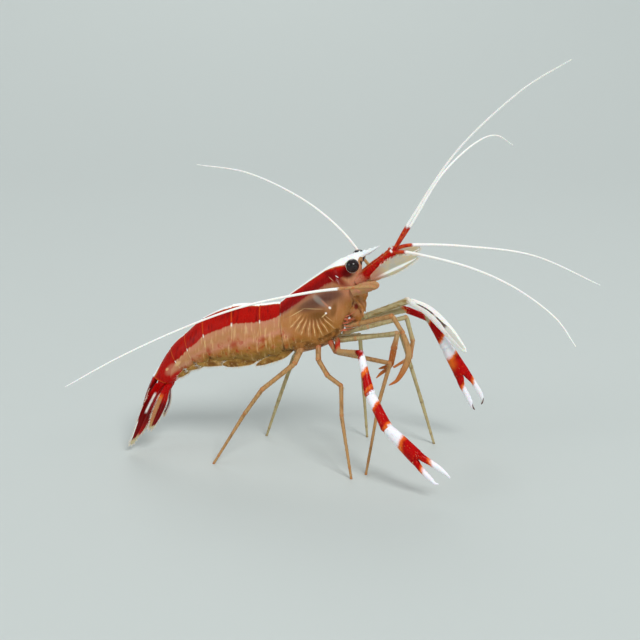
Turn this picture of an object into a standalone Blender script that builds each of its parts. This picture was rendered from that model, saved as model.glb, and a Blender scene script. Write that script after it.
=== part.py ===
"""A still, life-size cleaner shrimp that stands on its walking legs.

The shrimp faces +X with its right side towards -Y. All the tables below are in millimetres of a
design frame; shift() moves it so that the origin is on the floor under the middle of the box.
The shell is modelled as lofted rings and parted with thin cuts where a person would name a part.
"""

from typing import NamedTuple

import bpy
import numpy as np
from mathutils import Matrix, Vector

MM = 0.001
MIDDLE = (4.2, 1.0, 0.0)  # the point of the design frame that becomes the origin
GAP = 0.15  # width of a thin cut between two pieces
THIN = 0.26  # half the thickness of the thinnest feeler, blade and toe
SIDEWAYS = np.array((0.0, 1.0, 0.0))
RIGHT, LEFT = -1, 1
SIDE_NAMES = {RIGHT: "right", LEFT: "left"}

# Carapace, from its rear edge to the tip of the rostrum:
# dorsal x and z, ventral x and z, half width.
CARAPACE = (
    (-7.0, 28.7, -5.6, 19.6, 3.80),
    (-5.2, 30.3, -2.6, 20.3, 4.10),
    (-2.6, 32.3, 0.2, 21.1, 4.20),
    (0.2, 34.35, 2.6, 22.4, 4.05),
    (2.6, 36.0, 4.4, 24.6, 3.55),
    (4.3, 36.75, 6.0, 27.8, 2.75),
    (5.7, 37.4, 7.3, 31.5, 1.90),
    (7.1, 37.9, 7.5, 36.3, 0.70),
    (8.7, 38.5, 8.9, 37.6, 0.42),
    (10.3, 39.1, 10.4, 38.7, THIN),
)
CARAPACE_SIDES = 20
RINGS_PER_STATION = 2
BODY_EGG = 0.16  # how much wider a section is below its middle than above

# Abdomen: one row at each border between two rings of the tail, same columns.
ABDOMEN = (
    (-7.0, 28.7, -5.6, 19.6, 3.70),
    (-10.4, 28.2, -9.1, 18.4, 3.80),
    (-15.4, 27.9, -14.2, 17.8, 3.80),
    (-20.9, 25.4, -19.0, 17.5, 3.55),
    (-24.4, 22.4, -22.0, 16.7, 3.15),
    (-27.1, 19.8, -24.3, 15.4, 2.65),
    (-30.9, 14.1, -27.3, 12.8, 1.85),
)
ABDOMEN_SIDES = 18
# Along one ring of the tail: place from 0 to 1, and size against the border rows.
SHELL_STEPS = ((0.0, 0.955), (0.3, 0.995), (0.75, 1.0), (1.0, 0.985))
LOBE_DROP = 0.55  # how far a side lobe hangs below the border rows
PLEOPOD_RINGS = 5  # the first five rings of the tail carry a pair of swimmerets
# A swimmeret's points, towards the rump and away from the belly, and its half widths,
# all as shares of its ring's length along the belly.
PLEOPOD_PATH = ((-0.12, -0.3), (0.0, -0.08), (0.2, -0.05), (0.42, 0.02), (0.6, 0.08))
PLEOPOD_WIDTHS = (0.14, 0.2, 0.19, 0.13, 0.06)

# The tail fan has its own axes: along the fan, towards its underside, and sideways.
FAN_ROOT = np.array((-29.1, 0.0, 13.3))
FAN_ALONG = np.array((-0.425, 0.0, -0.905))
FAN_UNDER = np.array((0.905, 0.0, -0.425))
# Blades: points (along, under, out), half widths, and the way the flat side faces (under, out).
TELSON = (
    ((0.35, -1.55, 0.0), (4.0, -1.35, 0.0), (9.0, -0.6, 0.0)),
    (1.0, 1.1, 0.9, 0.3),
    (1.0, 0.0),
)
UROPODS = {
    "inner": (
        ((0.35, 0.2, 1.25), (5.0, 0.1, 2.2), (9.5, 0.2, 2.9), (13.0, 0.0, 3.3)),
        (0.5, 1.25, 1.2, 0.35),
        (0.8, 0.6),
    ),
    "outer": (
        ((0.35, 1.45, 1.0), (3.0, 1.9, 2.5), (5.6, 2.1, 3.5), (8.0, 2.2, 4.2)),
        (0.4, 1.25, 1.25, 0.5),
        (0.8, 0.6),
    ),
}
BLADE_FLAT = 0.01  # thickness against width; THIN holds it at the thinnest allowed
BLADE_SIDES = 10
BLADE_RINGS = 7

# Head: eye centres for each side, and the pieces in front of the shell, for the right side.
EYE_RADIUS = 1.2
EYES = {RIGHT: (6.0, -3.0, 36.0), LEFT: (6.5, 3.0, 36.6)}
STALK_ROOT = (4.9, 0.9, 35.7)
STALK_RADII = (0.55, 1.0)
PEDUNCLE = ((6.6, 1.6, 32.8), (9.8, 1.6, 35.5), (11.7, 1.6, 37.2), (13.1, 1.5, 38.5))
PEDUNCLE_RADII = (0.85, 0.92, 0.78, 0.6)
SCALE = ((9.2, 3.4, 33.9), (11.6, 3.8, 35.5), (14.2, 4.2, 36.9), (17.1, 4.6, 38.1))
SCALE_WIDTHS = (0.5, 1.25, 1.3, 0.35)
SCALE_FACES = (0.15, 0.95, 0.25)
ANTENNA_BASE = ((6.0, 2.9, 31.4), (8.5, 3.8, 32.5), (10.8, 4.4, 33.2))
ANTENNA_BASE_RADII = (0.75, 0.7, 0.5)
MOUTH = ((6.6, 0.6, 30.6), (7.6, 0.65, 28.6), (7.4, 0.6, 26.6), (6.6, 0.5, 25.2))
MOUTH_RADII = (0.8, 0.8, 0.6, 0.35)
STEM_RINGS = 6
STEM_SIDES = 10

# Feelers: the points that their curves pass, and the share of the length where they are parted.
FEELERS = {
    "antenna_right": (
        (10.3, -5.3, 32.9), (7.9, -5.6, 32.9), (-0.8, -6.5, 31.9), (-12.3, -8.2, 29.4),
        (-22.7, -9.6, 25.5), (-32.6, -13.0, 21.1), (-41.1, -17.0, 16.6),
    ),
    "antenna_left": (
        (9.3, 5.3, 33.3), (7.6, 5.8, 35.0), (2.6, 7.5, 40.6), (-5.1, 11.0, 45.6),
        (-16.0, 16.0, 49.5), (-26.8, 20.0, 50.5),
    ),
    "antennule_outer_right": (
        (13.3, -1.25, 39.3), (15.9, -1.6, 44.2), (23.1, -3.0, 55.6), (32.6, -5.6, 65.2),
        (40.4, -8.0, 70.4),
    ),
    "antennule_outer_left": (
        (13.3, 1.25, 39.3), (15.9, 2.0, 43.0), (20.4, 5.4, 50.6), (25.6, 9.8, 55.6),
        (29.6, 13.6, 57.1), (33.0, 17.0, 55.1),
    ),
    "antennule_inner_left": (
        (13.9, 1.75, 38.5), (16.3, 2.2, 39.0), (25.3, 5.2, 38.4), (37.2, 9.2, 36.3),
        (49.5, 13.0, 30.5),
    ),
    "antennule_inner_right": (
        (13.9, -1.75, 38.4), (16.4, -2.4, 38.3), (25.5, -5.2, 36.8), (33.1, -8.2, 34.2),
        (39.6, -11.4, 30.2), (43.1, -13.0, 25.8),
    ),
}
FEELER_ROOT = 0.34
FEELER_PARTED = 0.45
FEELER_RINGS = 11
FEELER_SIDES = 6


class Limb(NamedTuple):
    """Joints from the body to the end, the radius at each, and which joint is the knee."""

    joints: tuple
    radii: tuple
    knee: int
    fingers: tuple = ()  # each finger's points and its radii
    flat: float = 1.0  # thickness against width below the knee


LIMBS = {
    "maxilliped_right": Limb(
        ((5.0, -1.6, 24.9), (13.2, -6.2, 28.2), (15.1, -6.8, 25.4), (16.2, -7.4, 21.7),
         (14.6, -7.6, 17.7), (12.9, -7.6, 16.3)),
        (0.5, 0.45, 0.4, 0.45, 0.42, 0.27),
        knee=1,
        flat=0.75,
    ),
    "maxilliped_left": Limb(
        ((5.0, 1.6, 24.9), (15.3, 4.6, 28.5), (18.9, 5.2, 26.5), (22.4, 5.9, 22.9), (25.8, 6.5, 18.8)),
        (0.5, 0.62, 0.95, 0.85, 0.3),
        knee=1,
        flat=0.4,
    ),
    "claw_leg_right": Limb(
        ((3.4, -2.4, 22.8), (3.7, -3.8, 20.9), (8.0, -7.0, 21.6), (9.9, -10.2, 15.5),
         (13.1, -13.2, 10.7), (18.8, -16.8, 6.6)),
        (0.5, 0.5, 0.75, 1.02, 1.08, 1.2),
        knee=2,
        fingers=(
            (((18.4, -16.7, 7.0), (21.7, -17.3, 5.9), (23.8, -17.8, 4.4)), (0.62, 0.5, THIN)),
            (((17.4, -16.1, 7.1), (19.3, -17.0, 5.2), (22.0, -17.8, 3.2)), (0.62, 0.5, THIN)),
        ),
    ),
    "claw_leg_left": Limb(
        ((4.5, 2.3, 23.9), (8.2, 4.6, 24.9), (14.6, 6.6, 26.4), (18.9, 7.5, 24.6),
         (22.1, 8.3, 19.4), (25.5, 9.2, 13.6)),
        (0.5, 0.5, 0.75, 0.66, 1.1, 1.2),
        knee=2,
        fingers=(
            (((25.7, 9.3, 13.4), (27.5, 9.6, 11.7), (29.3, 10.0, 7.9)), (0.62, 0.5, THIN)),
            (((24.8, 9.0, 14.8), (25.2, 9.2, 11.3), (27.4, 9.2, 7.1)), (0.6, 0.5, THIN)),
        ),
    ),
    "second_leg_right": Limb(
        ((3.6, -1.3, 22.2), (14.0, -3.4, 24.5), (13.4, -3.5, 21.7), (13.0, -3.6, 19.0)),
        (0.45, 0.42, 0.62, 0.35),
        knee=1,
        fingers=(
            (((13.1, -3.6, 19.7), (12.3, -3.6, 18.6), (10.8, -3.6, 18.0)), (0.33, 0.33, THIN)),
            (((12.9, -3.6, 19.2), (11.6, -3.6, 17.8), (10.4, -3.6, 16.3)), (0.33, 0.33, THIN)),
        ),
    ),
    "second_leg_left": Limb(
        ((4.1, 1.3, 23.0), (15.1, 3.0, 25.8), (16.3, 3.2, 21.4), (15.9, 3.2, 18.3), (13.0, 3.2, 16.4)),
        (0.45, 0.45, 0.45, 0.42, 0.27),
        knee=1,
    ),
    "third_leg_right": Limb(
        ((1.9, -1.6, 22.3), (3.2, -2.7, 20.5), (12.9, -5.0, 19.5), (11.2, -6.0, 12.9), (9.2, -8.0, 0.0)),
        (0.62, 0.48, 0.42, 0.36, 0.28),
        knee=2,
    ),
    "third_leg_left": Limb(
        ((2.3, 1.6, 21.7), (14.0, 6.0, 21.9), (18.0, 8.0, 8.4), (20.4, 9.0, 0.0)),
        (0.62, 0.42, 0.36, 0.28),
        knee=1,
    ),
    "fourth_leg_right": Limb(
        ((-0.1, -1.6, 22.0), (0.2, -3.4, 19.1), (2.2, -6.0, 17.1), (4.8, -8.0, 16.0),
         (5.0, -9.0, 10.9), (6.9, -10.3, 0.0)),
        (0.62, 0.48, 0.48, 0.42, 0.36, 0.28),
        knee=3,
    ),
    "fourth_leg_left": Limb(
        ((-0.1, 1.6, 22.0), (6.2, 9.0, 20.6), (6.9, 10.0, 10.0), (7.6, 10.8, 0.0)),
        (0.62, 0.42, 0.36, 0.28),
        knee=1,
    ),
    "fifth_leg_right": Limb(
        ((-2.7, -1.6, 21.8), (-4.0, -4.0, 18.4), (-9.5, -6.0, 14.0), (-12.6, -6.2, 9.5),
         (-18.3, -6.7, 0.0)),
        (0.85, 0.48, 0.42, 0.36, 0.28),
        knee=2,
    ),
    "fifth_leg_left": Limb(
        ((-2.7, 1.6, 21.8), (-5.8, 6.2, 16.6), (-9.0, 7.5, 7.6), (-11.6, 8.8, 0.0)),
        (0.62, 0.42, 0.36, 0.28),
        knee=1,
    ),
}
LEG_SIDES = 8
CLAW_SIDES = 10
FINGER_RINGS = 5
KNUCKLE = (-0.92, -0.55)  # rings of a knee's ball, as shares of its radius before the joint
# Along one article of a limb: place from 0 to 1, and swelling against its two joint radii.
LEG_ARTICLE = ((0.5, 0.94), (1.0, 1.0))
CLAW_ARTICLE = ((0.12, 0.88), (0.45, 0.94), (0.88, 1.03), (1.0, 0.86))

# Colour, roughness of each material; none is metallic.
COLOURS = {
    "red_shell": ((0.55, 0.02, 0.015), 0.3),
    "amber_shell": ((0.60, 0.36, 0.20), 0.35),
    "leg_shell": ((0.48, 0.24, 0.11), 0.35),
    "claw_shell": ((0.62, 0.06, 0.03), 0.3),
    "white_feeler": ((0.85, 0.84, 0.82), 0.4),
    "pale_scale": ((0.62, 0.55, 0.40), 0.35),
    "black_eye": ((0.012, 0.008, 0.008), 0.08),
}


def clear_scene():
    """Remove every object that the file opened with."""
    for item in list(bpy.data.objects):
        bpy.data.objects.remove(item, do_unlink=True)


def material(name):
    """A plain Principled material of the named colour, made once."""
    if name in bpy.data.materials:
        return bpy.data.materials[name]
    made = bpy.data.materials.new(name)
    made.use_nodes = True
    colour, roughness = COLOURS[name]
    shader = made.node_tree.nodes["Principled BSDF"]
    shader.inputs["Base Color"].default_value = (*colour, 1.0)
    shader.inputs["Roughness"].default_value = roughness
    shader.inputs["Metallic"].default_value = 0.0
    return made


def shift(points):
    """Millimetres of the design frame as metres of the part's own frame."""
    return (np.asarray(points, dtype=float) - np.array(MIDDLE)) * MM


def unit(vector):
    """The vector at length one."""
    return vector / np.linalg.norm(vector)


def spline(rows, places):
    """Rows of numbers read at fractional places on the smooth curve through them (Catmull-Rom)."""
    rows = np.asarray(rows, dtype=float)
    padded = np.vstack((2 * rows[0] - rows[1], rows, 2 * rows[-1] - rows[-2]))
    places = np.clip(np.asarray(places, dtype=float), 0.0, len(rows) - 1.0)
    first = np.minimum(places.astype(int), len(rows) - 2)
    t = (places - first)[:, None]
    before, here, following, after = (padded[first + i] for i in range(4))
    return 0.5 * (
        2 * here
        + (following - before) * t
        + (2 * before - 5 * here + 4 * following - after) * t**2
        + (3 * here - before - 3 * following + after) * t**3
    )


def even_curve(points, count):
    """Points at equal steps along the smooth curve through the given ones."""
    fine = spline(points, np.linspace(0, len(points) - 1, 40 * len(points)))
    steps = np.linalg.norm(np.diff(fine, axis=0), axis=1)
    run = np.concatenate(((0.0,), np.cumsum(steps)))
    wanted = np.linspace(0, run[-1], count)
    return np.stack([np.interp(wanted, run, fine[:, axis]) for axis in range(3)], axis=1)


def eased(values, count):
    """A few widths or radii read smoothly at a number of even steps."""
    places = np.linspace(0, len(values) - 1, count)
    return spline([[value] for value in values], places)[:, 0]


def body_ring(row, sides, grow=0.0, egg=BODY_EGG):
    """An egg-shaped section between a dorsal and a ventral point, grown outwards by a margin."""
    dorsal_x, dorsal_z, ventral_x, ventral_z, half_width = row
    top = np.array((dorsal_x, 0.0, dorsal_z))
    bottom = np.array((ventral_x, 0.0, ventral_z))
    upwards = unit(top - bottom)
    turn = 2 * np.pi * np.arange(sides) / sides
    rise = (np.linalg.norm(top - bottom) / 2 + grow) * np.cos(turn)
    across = (half_width + grow) * np.sin(turn) * (1 - egg * np.cos(turn))
    return (top + bottom) / 2 + rise[:, None] * upwards + across[:, None] * SIDEWAYS


def sweep_rings(path, widths, sides, flat=1.0, faces=SIDEWAYS, level_end=False):
    """Oval rings along a path. faces is the direction of the thin side; flat is thickness/width."""
    path = np.asarray(path, dtype=float)
    steps = np.diff(path, axis=0)
    steps /= np.linalg.norm(steps, axis=1)[:, None]
    tangents = np.vstack((steps[0], steps[:-1] + steps[1:], steps[-1]))
    if level_end:
        tangents[-1] = (0.0, 0.0, -1.0)
    turn = 2 * np.pi * (np.arange(sides) + 0.5) / sides
    rings = []
    for centre, tangent, width in zip(path, tangents, widths, strict=True):
        wide = unit(np.cross(tangent, faces))
        thin = unit(np.cross(wide, tangent))
        thick = max(width * flat, min(width, THIN))
        rings.append(centre + width * np.cos(turn)[:, None] * wide + thick * np.sin(turn)[:, None] * thin)
    return rings


def solid(name, rings, colour):
    """A closed object lofted through rings of points, with a flat cap on each end."""
    sides = len(rings[0])
    points = shift(np.vstack(rings))
    faces = []
    for ring in range(len(rings) - 1):
        for side in range(sides):
            here = ring * sides + side
            beside = ring * sides + (side + 1) % sides
            faces.append((here, beside, beside + sides, here + sides))
    faces.append(tuple(range(sides))[::-1])
    faces.append(tuple(range(len(points) - sides, len(points))))
    mesh = bpy.data.meshes.new(name)
    mesh.from_pydata(points.tolist(), [], faces)
    middle = points.mean(axis=0)
    first = mesh.polygons[0]
    ring_middle = points[: 2 * sides].mean(axis=0)
    if first.normal.dot(first.center - Vector(ring_middle)) < 0:
        mesh.flip_normals()
    mesh.shade_smooth()
    mesh.set_sharp_from_angle(angle=0.9)
    mesh.materials.append(material(colour))
    made = bpy.data.objects.new(name, mesh)
    bpy.context.scene.collection.objects.link(made)
    mesh.transform(Matrix.Translation(-middle))
    made.location = middle
    return made


def as_cutter(made):
    """Mark an object as a tool: it shapes others and is no piece of the shrimp."""
    made.hide_render = True
    made.display_type = "WIRE"
    return made


def boolean(target, tool, operation):
    """Cut the tool from the target, or join it to the target."""
    step = target.modifiers.new(f"{operation.lower()} {tool.name}", "BOOLEAN")
    step.operation = operation
    step.solver = "EXACT"
    step.object = tool


def ball(name, centre, radius, colour, rings=8, sides=14):
    """A sphere lofted from rings, its poles on the sideways axis."""
    lean = np.linspace(0.02, np.pi - 0.02, rings + 1)
    path = np.array(centre) + radius * np.cos(lean)[:, None] * SIDEWAYS
    turn = 2 * np.pi * np.arange(sides) / sides
    spokes = np.stack((np.cos(turn), np.zeros(sides), np.sin(turn)), axis=1)
    rings = [point + radius * np.sin(angle) * spokes for point, angle in zip(path, lean, strict=True)]
    return solid(name, rings, colour)


def mirrored(points, side):
    """Points given for +Y, on the side asked for."""
    return [(x, side * y, z) for x, y, z in points]


def carapace_rings(grow):
    """Rings of the carapace from its rear edge to the tip of the rostrum."""
    places = np.linspace(0, len(CARAPACE) - 1, RINGS_PER_STATION * (len(CARAPACE) - 1) + 1)
    return [body_ring(row, CARAPACE_SIDES, grow) for row in spline(CARAPACE, places)]


def make_carapace():
    """The shell of head and thorax with its rostrum, hollowed at the orbits."""
    made = solid("carapace", carapace_rings(0.0), "red_shell")
    for side, centre in EYES.items():
        orbit = ball(f"orbit_{SIDE_NAMES[side]}", centre, EYE_RADIUS + GAP, "red_shell")
        boolean(made, as_cutter(orbit), "DIFFERENCE")
    return made


def make_clearance():
    """The carapace grown by the width of a cut, which trims the roots of what grows from it."""
    return as_cutter(solid("carapace_clearance", carapace_rings(GAP), "red_shell"))


def make_pleopods(ring, low, belly, half_width):
    """A pair of swimmerets below the ring's lowest point, as tools to join to it."""
    length = np.linalg.norm(belly)
    away = np.array((-belly[2], 0.0, belly[0]))
    pair = []
    for side in (RIGHT, LEFT):
        root = low + side * half_width * 0.55 * SIDEWAYS
        path = [root + back * belly + down * away for back, down in PLEOPOD_PATH]
        rings = sweep_rings(path, length * np.array(PLEOPOD_WIDTHS), LEG_SIDES, 0.3)
        pair.append(as_cutter(solid(f"pleopod_{ring}_{SIDE_NAMES[side]}", rings, "amber_shell")))
    return pair


def make_abdomen():
    """Six rings of the tail, each a shell whose side lobes hang lower than its borders."""
    for ring in range(1, len(ABDOMEN)):
        front, rear = np.array(ABDOMEN[ring - 1]), np.array(ABDOMEN[ring])
        inset = GAP / 2 / np.linalg.norm(rear[2:4] - front[2:4])
        rings = []
        for along, size in SHELL_STEPS:
            row = spline(ABDOMEN, [ring - 1 + inset + (1 - 2 * inset) * along])[0]
            row[3] -= LOBE_DROP * np.sin(np.pi * along) * row[4] / front[4]
            middle = (row[0:2] + row[2:4]) / 2
            row[0:2] = middle + (row[0:2] - middle) * size
            row[2:4] = middle + (row[2:4] - middle) * size
            row[4] *= size
            rings.append(body_ring(row, ABDOMEN_SIDES))
        made = solid(f"abdomen_{ring}", rings, "red_shell")
        if ring <= PLEOPOD_RINGS:
            middle = spline(ABDOMEN, [ring - 0.5])[0]
            low = np.array((middle[2], 0.0, middle[3] - LOBE_DROP))
            belly = np.array((rear[2] - front[2], 0.0, rear[3] - front[3]))
            for pleopod in make_pleopods(ring, low, belly, middle[4]):
                boolean(made, pleopod, "UNION")


def fan_point(along, under, out):
    """A point of the tail fan from its place in the fan's own axes."""
    return FAN_ROOT + along * FAN_ALONG + under * FAN_UNDER + out * SIDEWAYS


def make_blade(name, shape, side):
    """One flat blade of the tail fan."""
    points, widths, (faces_under, faces_out) = shape
    path = even_curve([fan_point(a, u, side * o) for a, u, o in points], BLADE_RINGS)
    faces = faces_under * FAN_UNDER + side * faces_out * SIDEWAYS
    solid(name, sweep_rings(path, eased(widths, BLADE_RINGS), BLADE_SIDES, BLADE_FLAT, faces), "red_shell")


def make_tail_fan():
    """The telson on the ridge with two blades on each side."""
    make_blade("telson", TELSON, LEFT)
    for side, side_name in SIDE_NAMES.items():
        for place, shape in UROPODS.items():
            make_blade(f"uropod_{place}_{side_name}", shape, side)


def make_eyes(clearance):
    """Round eyes, each on a short stalk that widens to a cup behind it."""
    for side, centre in EYES.items():
        name = SIDE_NAMES[side]
        ball(f"eye_{name}", centre, EYE_RADIUS, "black_eye")
        root = np.array(mirrored([STALK_ROOT], side)[0])
        path = [root + (np.array(centre) - root) * share for share in (0.0, 0.45, 0.8, 0.98)]
        widths = (STALK_RADII[0], 0.8, STALK_RADII[1], STALK_RADII[1])
        rings = sweep_rings(path, widths, 12, faces=np.array((0.0, 0.0, 1.0)))
        stalk = solid(f"eyestalk_{name}", rings, "amber_shell")
        boolean(stalk, clearance, "DIFFERENCE")
        cup = ball(f"eye_room_{name}", centre, EYE_RADIUS + GAP, "black_eye")
        boolean(stalk, as_cutter(cup), "DIFFERENCE")


def make_head_pieces(clearance):
    """Antennule stems, antennal scales and antenna roots, a pair of each."""
    for side, name in SIDE_NAMES.items():
        path = even_curve(mirrored(PEDUNCLE, side), STEM_RINGS)
        rings = sweep_rings(path, eased(PEDUNCLE_RADII, STEM_RINGS), STEM_SIDES)
        boolean(solid(f"antennule_stem_{name}", rings, "red_shell"), clearance, "DIFFERENCE")
        path = even_curve(mirrored(SCALE, side), BLADE_RINGS)
        faces = np.array(mirrored([SCALE_FACES], side)[0])
        rings = sweep_rings(path, eased(SCALE_WIDTHS, BLADE_RINGS), BLADE_SIDES, BLADE_FLAT, faces)
        solid(f"antennal_scale_{name}", rings, "pale_scale")
        path = even_curve(mirrored(ANTENNA_BASE, side), STEM_RINGS)
        rings = sweep_rings(path, eased(ANTENNA_BASE_RADII, STEM_RINGS), STEM_SIDES)
        boolean(solid(f"antenna_root_{name}", rings, "leg_shell"), clearance, "DIFFERENCE")


def make_mouthparts(clearance):
    """The smaller jaw legs, a left and a right one that meet on the midline."""
    halves = []
    for side in (RIGHT, LEFT):
        path = even_curve(mirrored(MOUTH, side), STEM_RINGS)
        halves.append(sweep_rings(path, eased(MOUTH_RADII, STEM_RINGS), LEG_SIDES))
    made = solid("mouthparts", halves[0], "leg_shell")
    boolean(made, as_cutter(solid("mouthparts_other_half", halves[1], "leg_shell")), "UNION")
    boolean(made, clearance, "DIFFERENCE")


def make_feelers():
    """Six long feelers, each parted once along its length."""
    for name, points in FEELERS.items():
        path = even_curve(points, 2 * FEELER_RINGS)
        radii = np.linspace(FEELER_ROOT, THIN, len(path))
        cut = round(FEELER_PARTED * len(path))
        for part, first, last in (("base", 0, cut), ("tip", cut - 1, len(path))):
            run, widths = path[first:last].copy(), radii[first:last]
            if first:
                run[0] += GAP * unit(run[1] - run[0])
            solid(f"{name}_{part}", sweep_rings(run, widths, FEELER_SIDES), "white_feeler")


def article_path(joints, radii, profile):
    """Rings along every article between two joints: profile holds places along it and swellings."""
    path, widths = [joints[0]], [radii[0]]
    for start, end, first, last in zip(joints, joints[1:], radii, radii[1:], strict=False):
        for along, swelling in profile:
            path.append(start + along * (end - start))
            widths.append(max(swelling * (first + along * (last - first)), THIN))
    return np.array(path), np.array(widths)


def upper_limb(limb, sides):
    """From the root inside the body to just short of the ball of the knee."""
    joints = [np.array(j) for j in limb.joints[: limb.knee + 1]]
    end = unit(joints[-1] - joints[-2])
    joints[-1] = joints[-1] - end * (limb.radii[limb.knee] + GAP)
    path, widths = article_path(joints, limb.radii[: limb.knee + 1], LEG_ARTICLE)
    return sweep_rings(path, widths, sides)


def lower_limb(limb, sides, profile):
    """From the ball of the knee to the end; a leg that reaches the floor ends in a level foot."""
    joints = [np.array(j) for j in limb.joints[limb.knee :]]
    radii = limb.radii[limb.knee :]
    path, widths = article_path(joints, radii, profile)
    onwards = unit(joints[1] - joints[0])
    knuckle = [joints[0] + radii[0] * place * onwards for place in KNUCKLE]
    knuckle_widths = [radii[0] * np.sqrt(1 - place**2) for place in KNUCKLE]
    path = np.vstack((knuckle, path))
    widths = np.concatenate((knuckle_widths, widths))
    level = limb.joints[-1][2] == 0.0
    return sweep_rings(path, widths, sides, limb.flat, level_end=level)


def make_limbs(clearance):
    """Jaw legs, claw legs and walking legs, each parted at the knee."""
    for name, limb in LIMBS.items():
        clawed = name.startswith("claw_leg")
        colour = "claw_shell" if clawed else "leg_shell"
        sides = CLAW_SIDES if clawed else LEG_SIDES
        upper = solid(f"{name}_upper", upper_limb(limb, sides), colour)
        boolean(upper, clearance, "DIFFERENCE")
        profile = CLAW_ARTICLE if clawed else LEG_ARTICLE
        lower = solid(f"{name}_lower", lower_limb(limb, sides, profile), colour)
        for number, (points, radii) in enumerate(limb.fingers):
            rings = sweep_rings(even_curve(points, FINGER_RINGS), eased(radii, FINGER_RINGS), LEG_SIDES)
            finger = as_cutter(solid(f"{name}_finger_{number}", rings, colour))
            boolean(lower, finger, "UNION")


def main():
    """Build every piece of the shrimp."""
    clear_scene()
    make_carapace()
    clearance = make_clearance()
    make_abdomen()
    make_tail_fan()
    make_eyes(clearance)
    make_head_pieces(clearance)
    make_mouthparts(clearance)
    make_feelers()
    make_limbs(clearance)


main()
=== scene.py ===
"""A still, life-size cleaner shrimp in its fine shell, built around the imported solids.

Run as a script, it loads the solids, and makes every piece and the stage.
Tables hold millimetres of a design frame with the shrimp facing +X and its right side towards -Y.
settle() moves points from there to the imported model's own frame, in metres.
"""

from functools import partialmethod
from typing import NamedTuple

import bpy
import numpy as np
from bpy.props import FloatProperty, FloatVectorProperty, IntProperty, PointerProperty
from bpy.types import Operator, Panel, PropertyGroup
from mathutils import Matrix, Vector


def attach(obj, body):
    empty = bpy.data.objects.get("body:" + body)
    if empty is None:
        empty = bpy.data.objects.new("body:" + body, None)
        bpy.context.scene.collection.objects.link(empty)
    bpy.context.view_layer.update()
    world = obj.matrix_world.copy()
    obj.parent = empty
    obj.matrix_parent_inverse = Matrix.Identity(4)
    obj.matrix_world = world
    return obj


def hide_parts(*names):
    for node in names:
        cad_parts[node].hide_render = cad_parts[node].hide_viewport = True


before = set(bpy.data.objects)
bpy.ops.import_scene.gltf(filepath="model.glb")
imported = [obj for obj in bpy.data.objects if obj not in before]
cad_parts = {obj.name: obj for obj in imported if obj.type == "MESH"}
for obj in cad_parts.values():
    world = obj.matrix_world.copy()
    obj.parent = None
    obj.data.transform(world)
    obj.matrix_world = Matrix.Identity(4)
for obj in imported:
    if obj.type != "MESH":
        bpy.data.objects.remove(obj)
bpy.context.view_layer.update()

bl_info = {
    "name": "Cleaner Shrimp",
    "version": (1, 0, 0),
    "blender": (4, 5, 0),
    "location": "3D View > Sidebar > Shrimp",
    "description": "Builds a life-size cleaner shrimp with its shell, limbs, feelers and stage",
    "category": "Object",
}

MM = 0.001
MIDDLE = np.array((4.2, 1.0, 0.0))  # the point of the design frame that is the frame's origin
RIGHT, LEFT = -1, 1
SIDE_NAMES = {RIGHT: "right", LEFT: "left"}
FORWARDS, SIDEWAYS, UPWARDS = np.eye(3)
SEED = 7
BLADE_SIDES = 64  # points round the tail blades and the antennal scales

# ---------------------------------------------------------------- the body's tables

# Carapace, from its rear edge to the tip of the rostrum:
# dorsal x and z, ventral x and z, half width.
CARAPACE = (
    (-7.0, 28.7, -5.6, 19.6, 3.80), (-5.2, 30.3, -2.6, 20.3, 4.10), (-2.6, 32.3, 0.2, 21.1, 4.20),
    (0.2, 34.35, 2.6, 22.4, 4.05), (2.6, 36.0, 4.4, 24.6, 3.55), (4.3, 36.75, 6.0, 27.8, 2.75),
    (5.7, 37.4, 7.3, 31.5, 1.90), (7.1, 37.9, 7.5, 36.45, 0.70), (8.7, 38.45, 8.9, 37.75, 0.38),
    (10.38, 39.1, 10.42, 38.92, 0.1),
)
# Abdomen: one row at each border between two rings of the tail, same columns.
ABDOMEN = (
    (-7.0, 28.7, -5.6, 19.6, 3.70), (-10.4, 28.2, -9.1, 18.4, 3.80), (-15.4, 27.9, -14.2, 17.8, 3.80),
    (-20.9, 25.4, -19.0, 17.5, 3.55), (-24.4, 22.4, -22.0, 16.7, 3.15), (-27.1, 19.8, -24.3, 15.4, 2.65),
    (-30.9, 14.1, -27.3, 12.8, 1.85),
)
RINGS = len(ABDOMEN) - 1
BODY_EGG = 0.16  # how much wider a section is below its middle than above
LOBE_DROP = 0.55  # how far the side lobes hang below the ring's belly

# Markings: place along the body, then the turn down each side (0 at the back, 1 at the belly)
# where the white stripe ends, where the red band ends and where the amber belly begins.
CARAPACE_BANDS = (
    (0.0, 0.085, 0.290, 0.74), (1.0, 0.085, 0.290, 0.74), (2.2, 0.095, 0.275, 0.74),
    (3.3, 0.105, 0.285, 0.74), (4.0, 0.160, 0.320, 0.74), (4.9, 0.215, 0.345, 0.72),
    (5.4, 0.250, 0.330, 0.70), (6.1, 0.300, 0.320, 0.66), (7.0, 0.600, 0.605, 0.95),
    (7.5, 0.980, 0.985, 0.99), (9.0, 0.980, 0.985, 0.99),
)
ABDOMEN_BANDS = (
    (0.0, 0.085, 0.300, 0.66), (0.4, 0.085, 0.325, 0.66), (1.0, 0.090, 0.340, 0.68),
    (1.6, 0.105, 0.350, 0.70), (2.0, 0.105, 0.360, 0.71), (2.9, 0.080, 0.385, 0.74),
    (3.6, 0.075, 0.430, 0.78), (4.7, 0.075, 0.475, 0.84), (5.35, 0.085, 0.515, 0.90),
    (5.6, 0.130, 0.620, 0.98), (5.78, 0.190, 0.960, 0.98), (6.0, 0.240, 0.970, 0.98),
)

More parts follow.
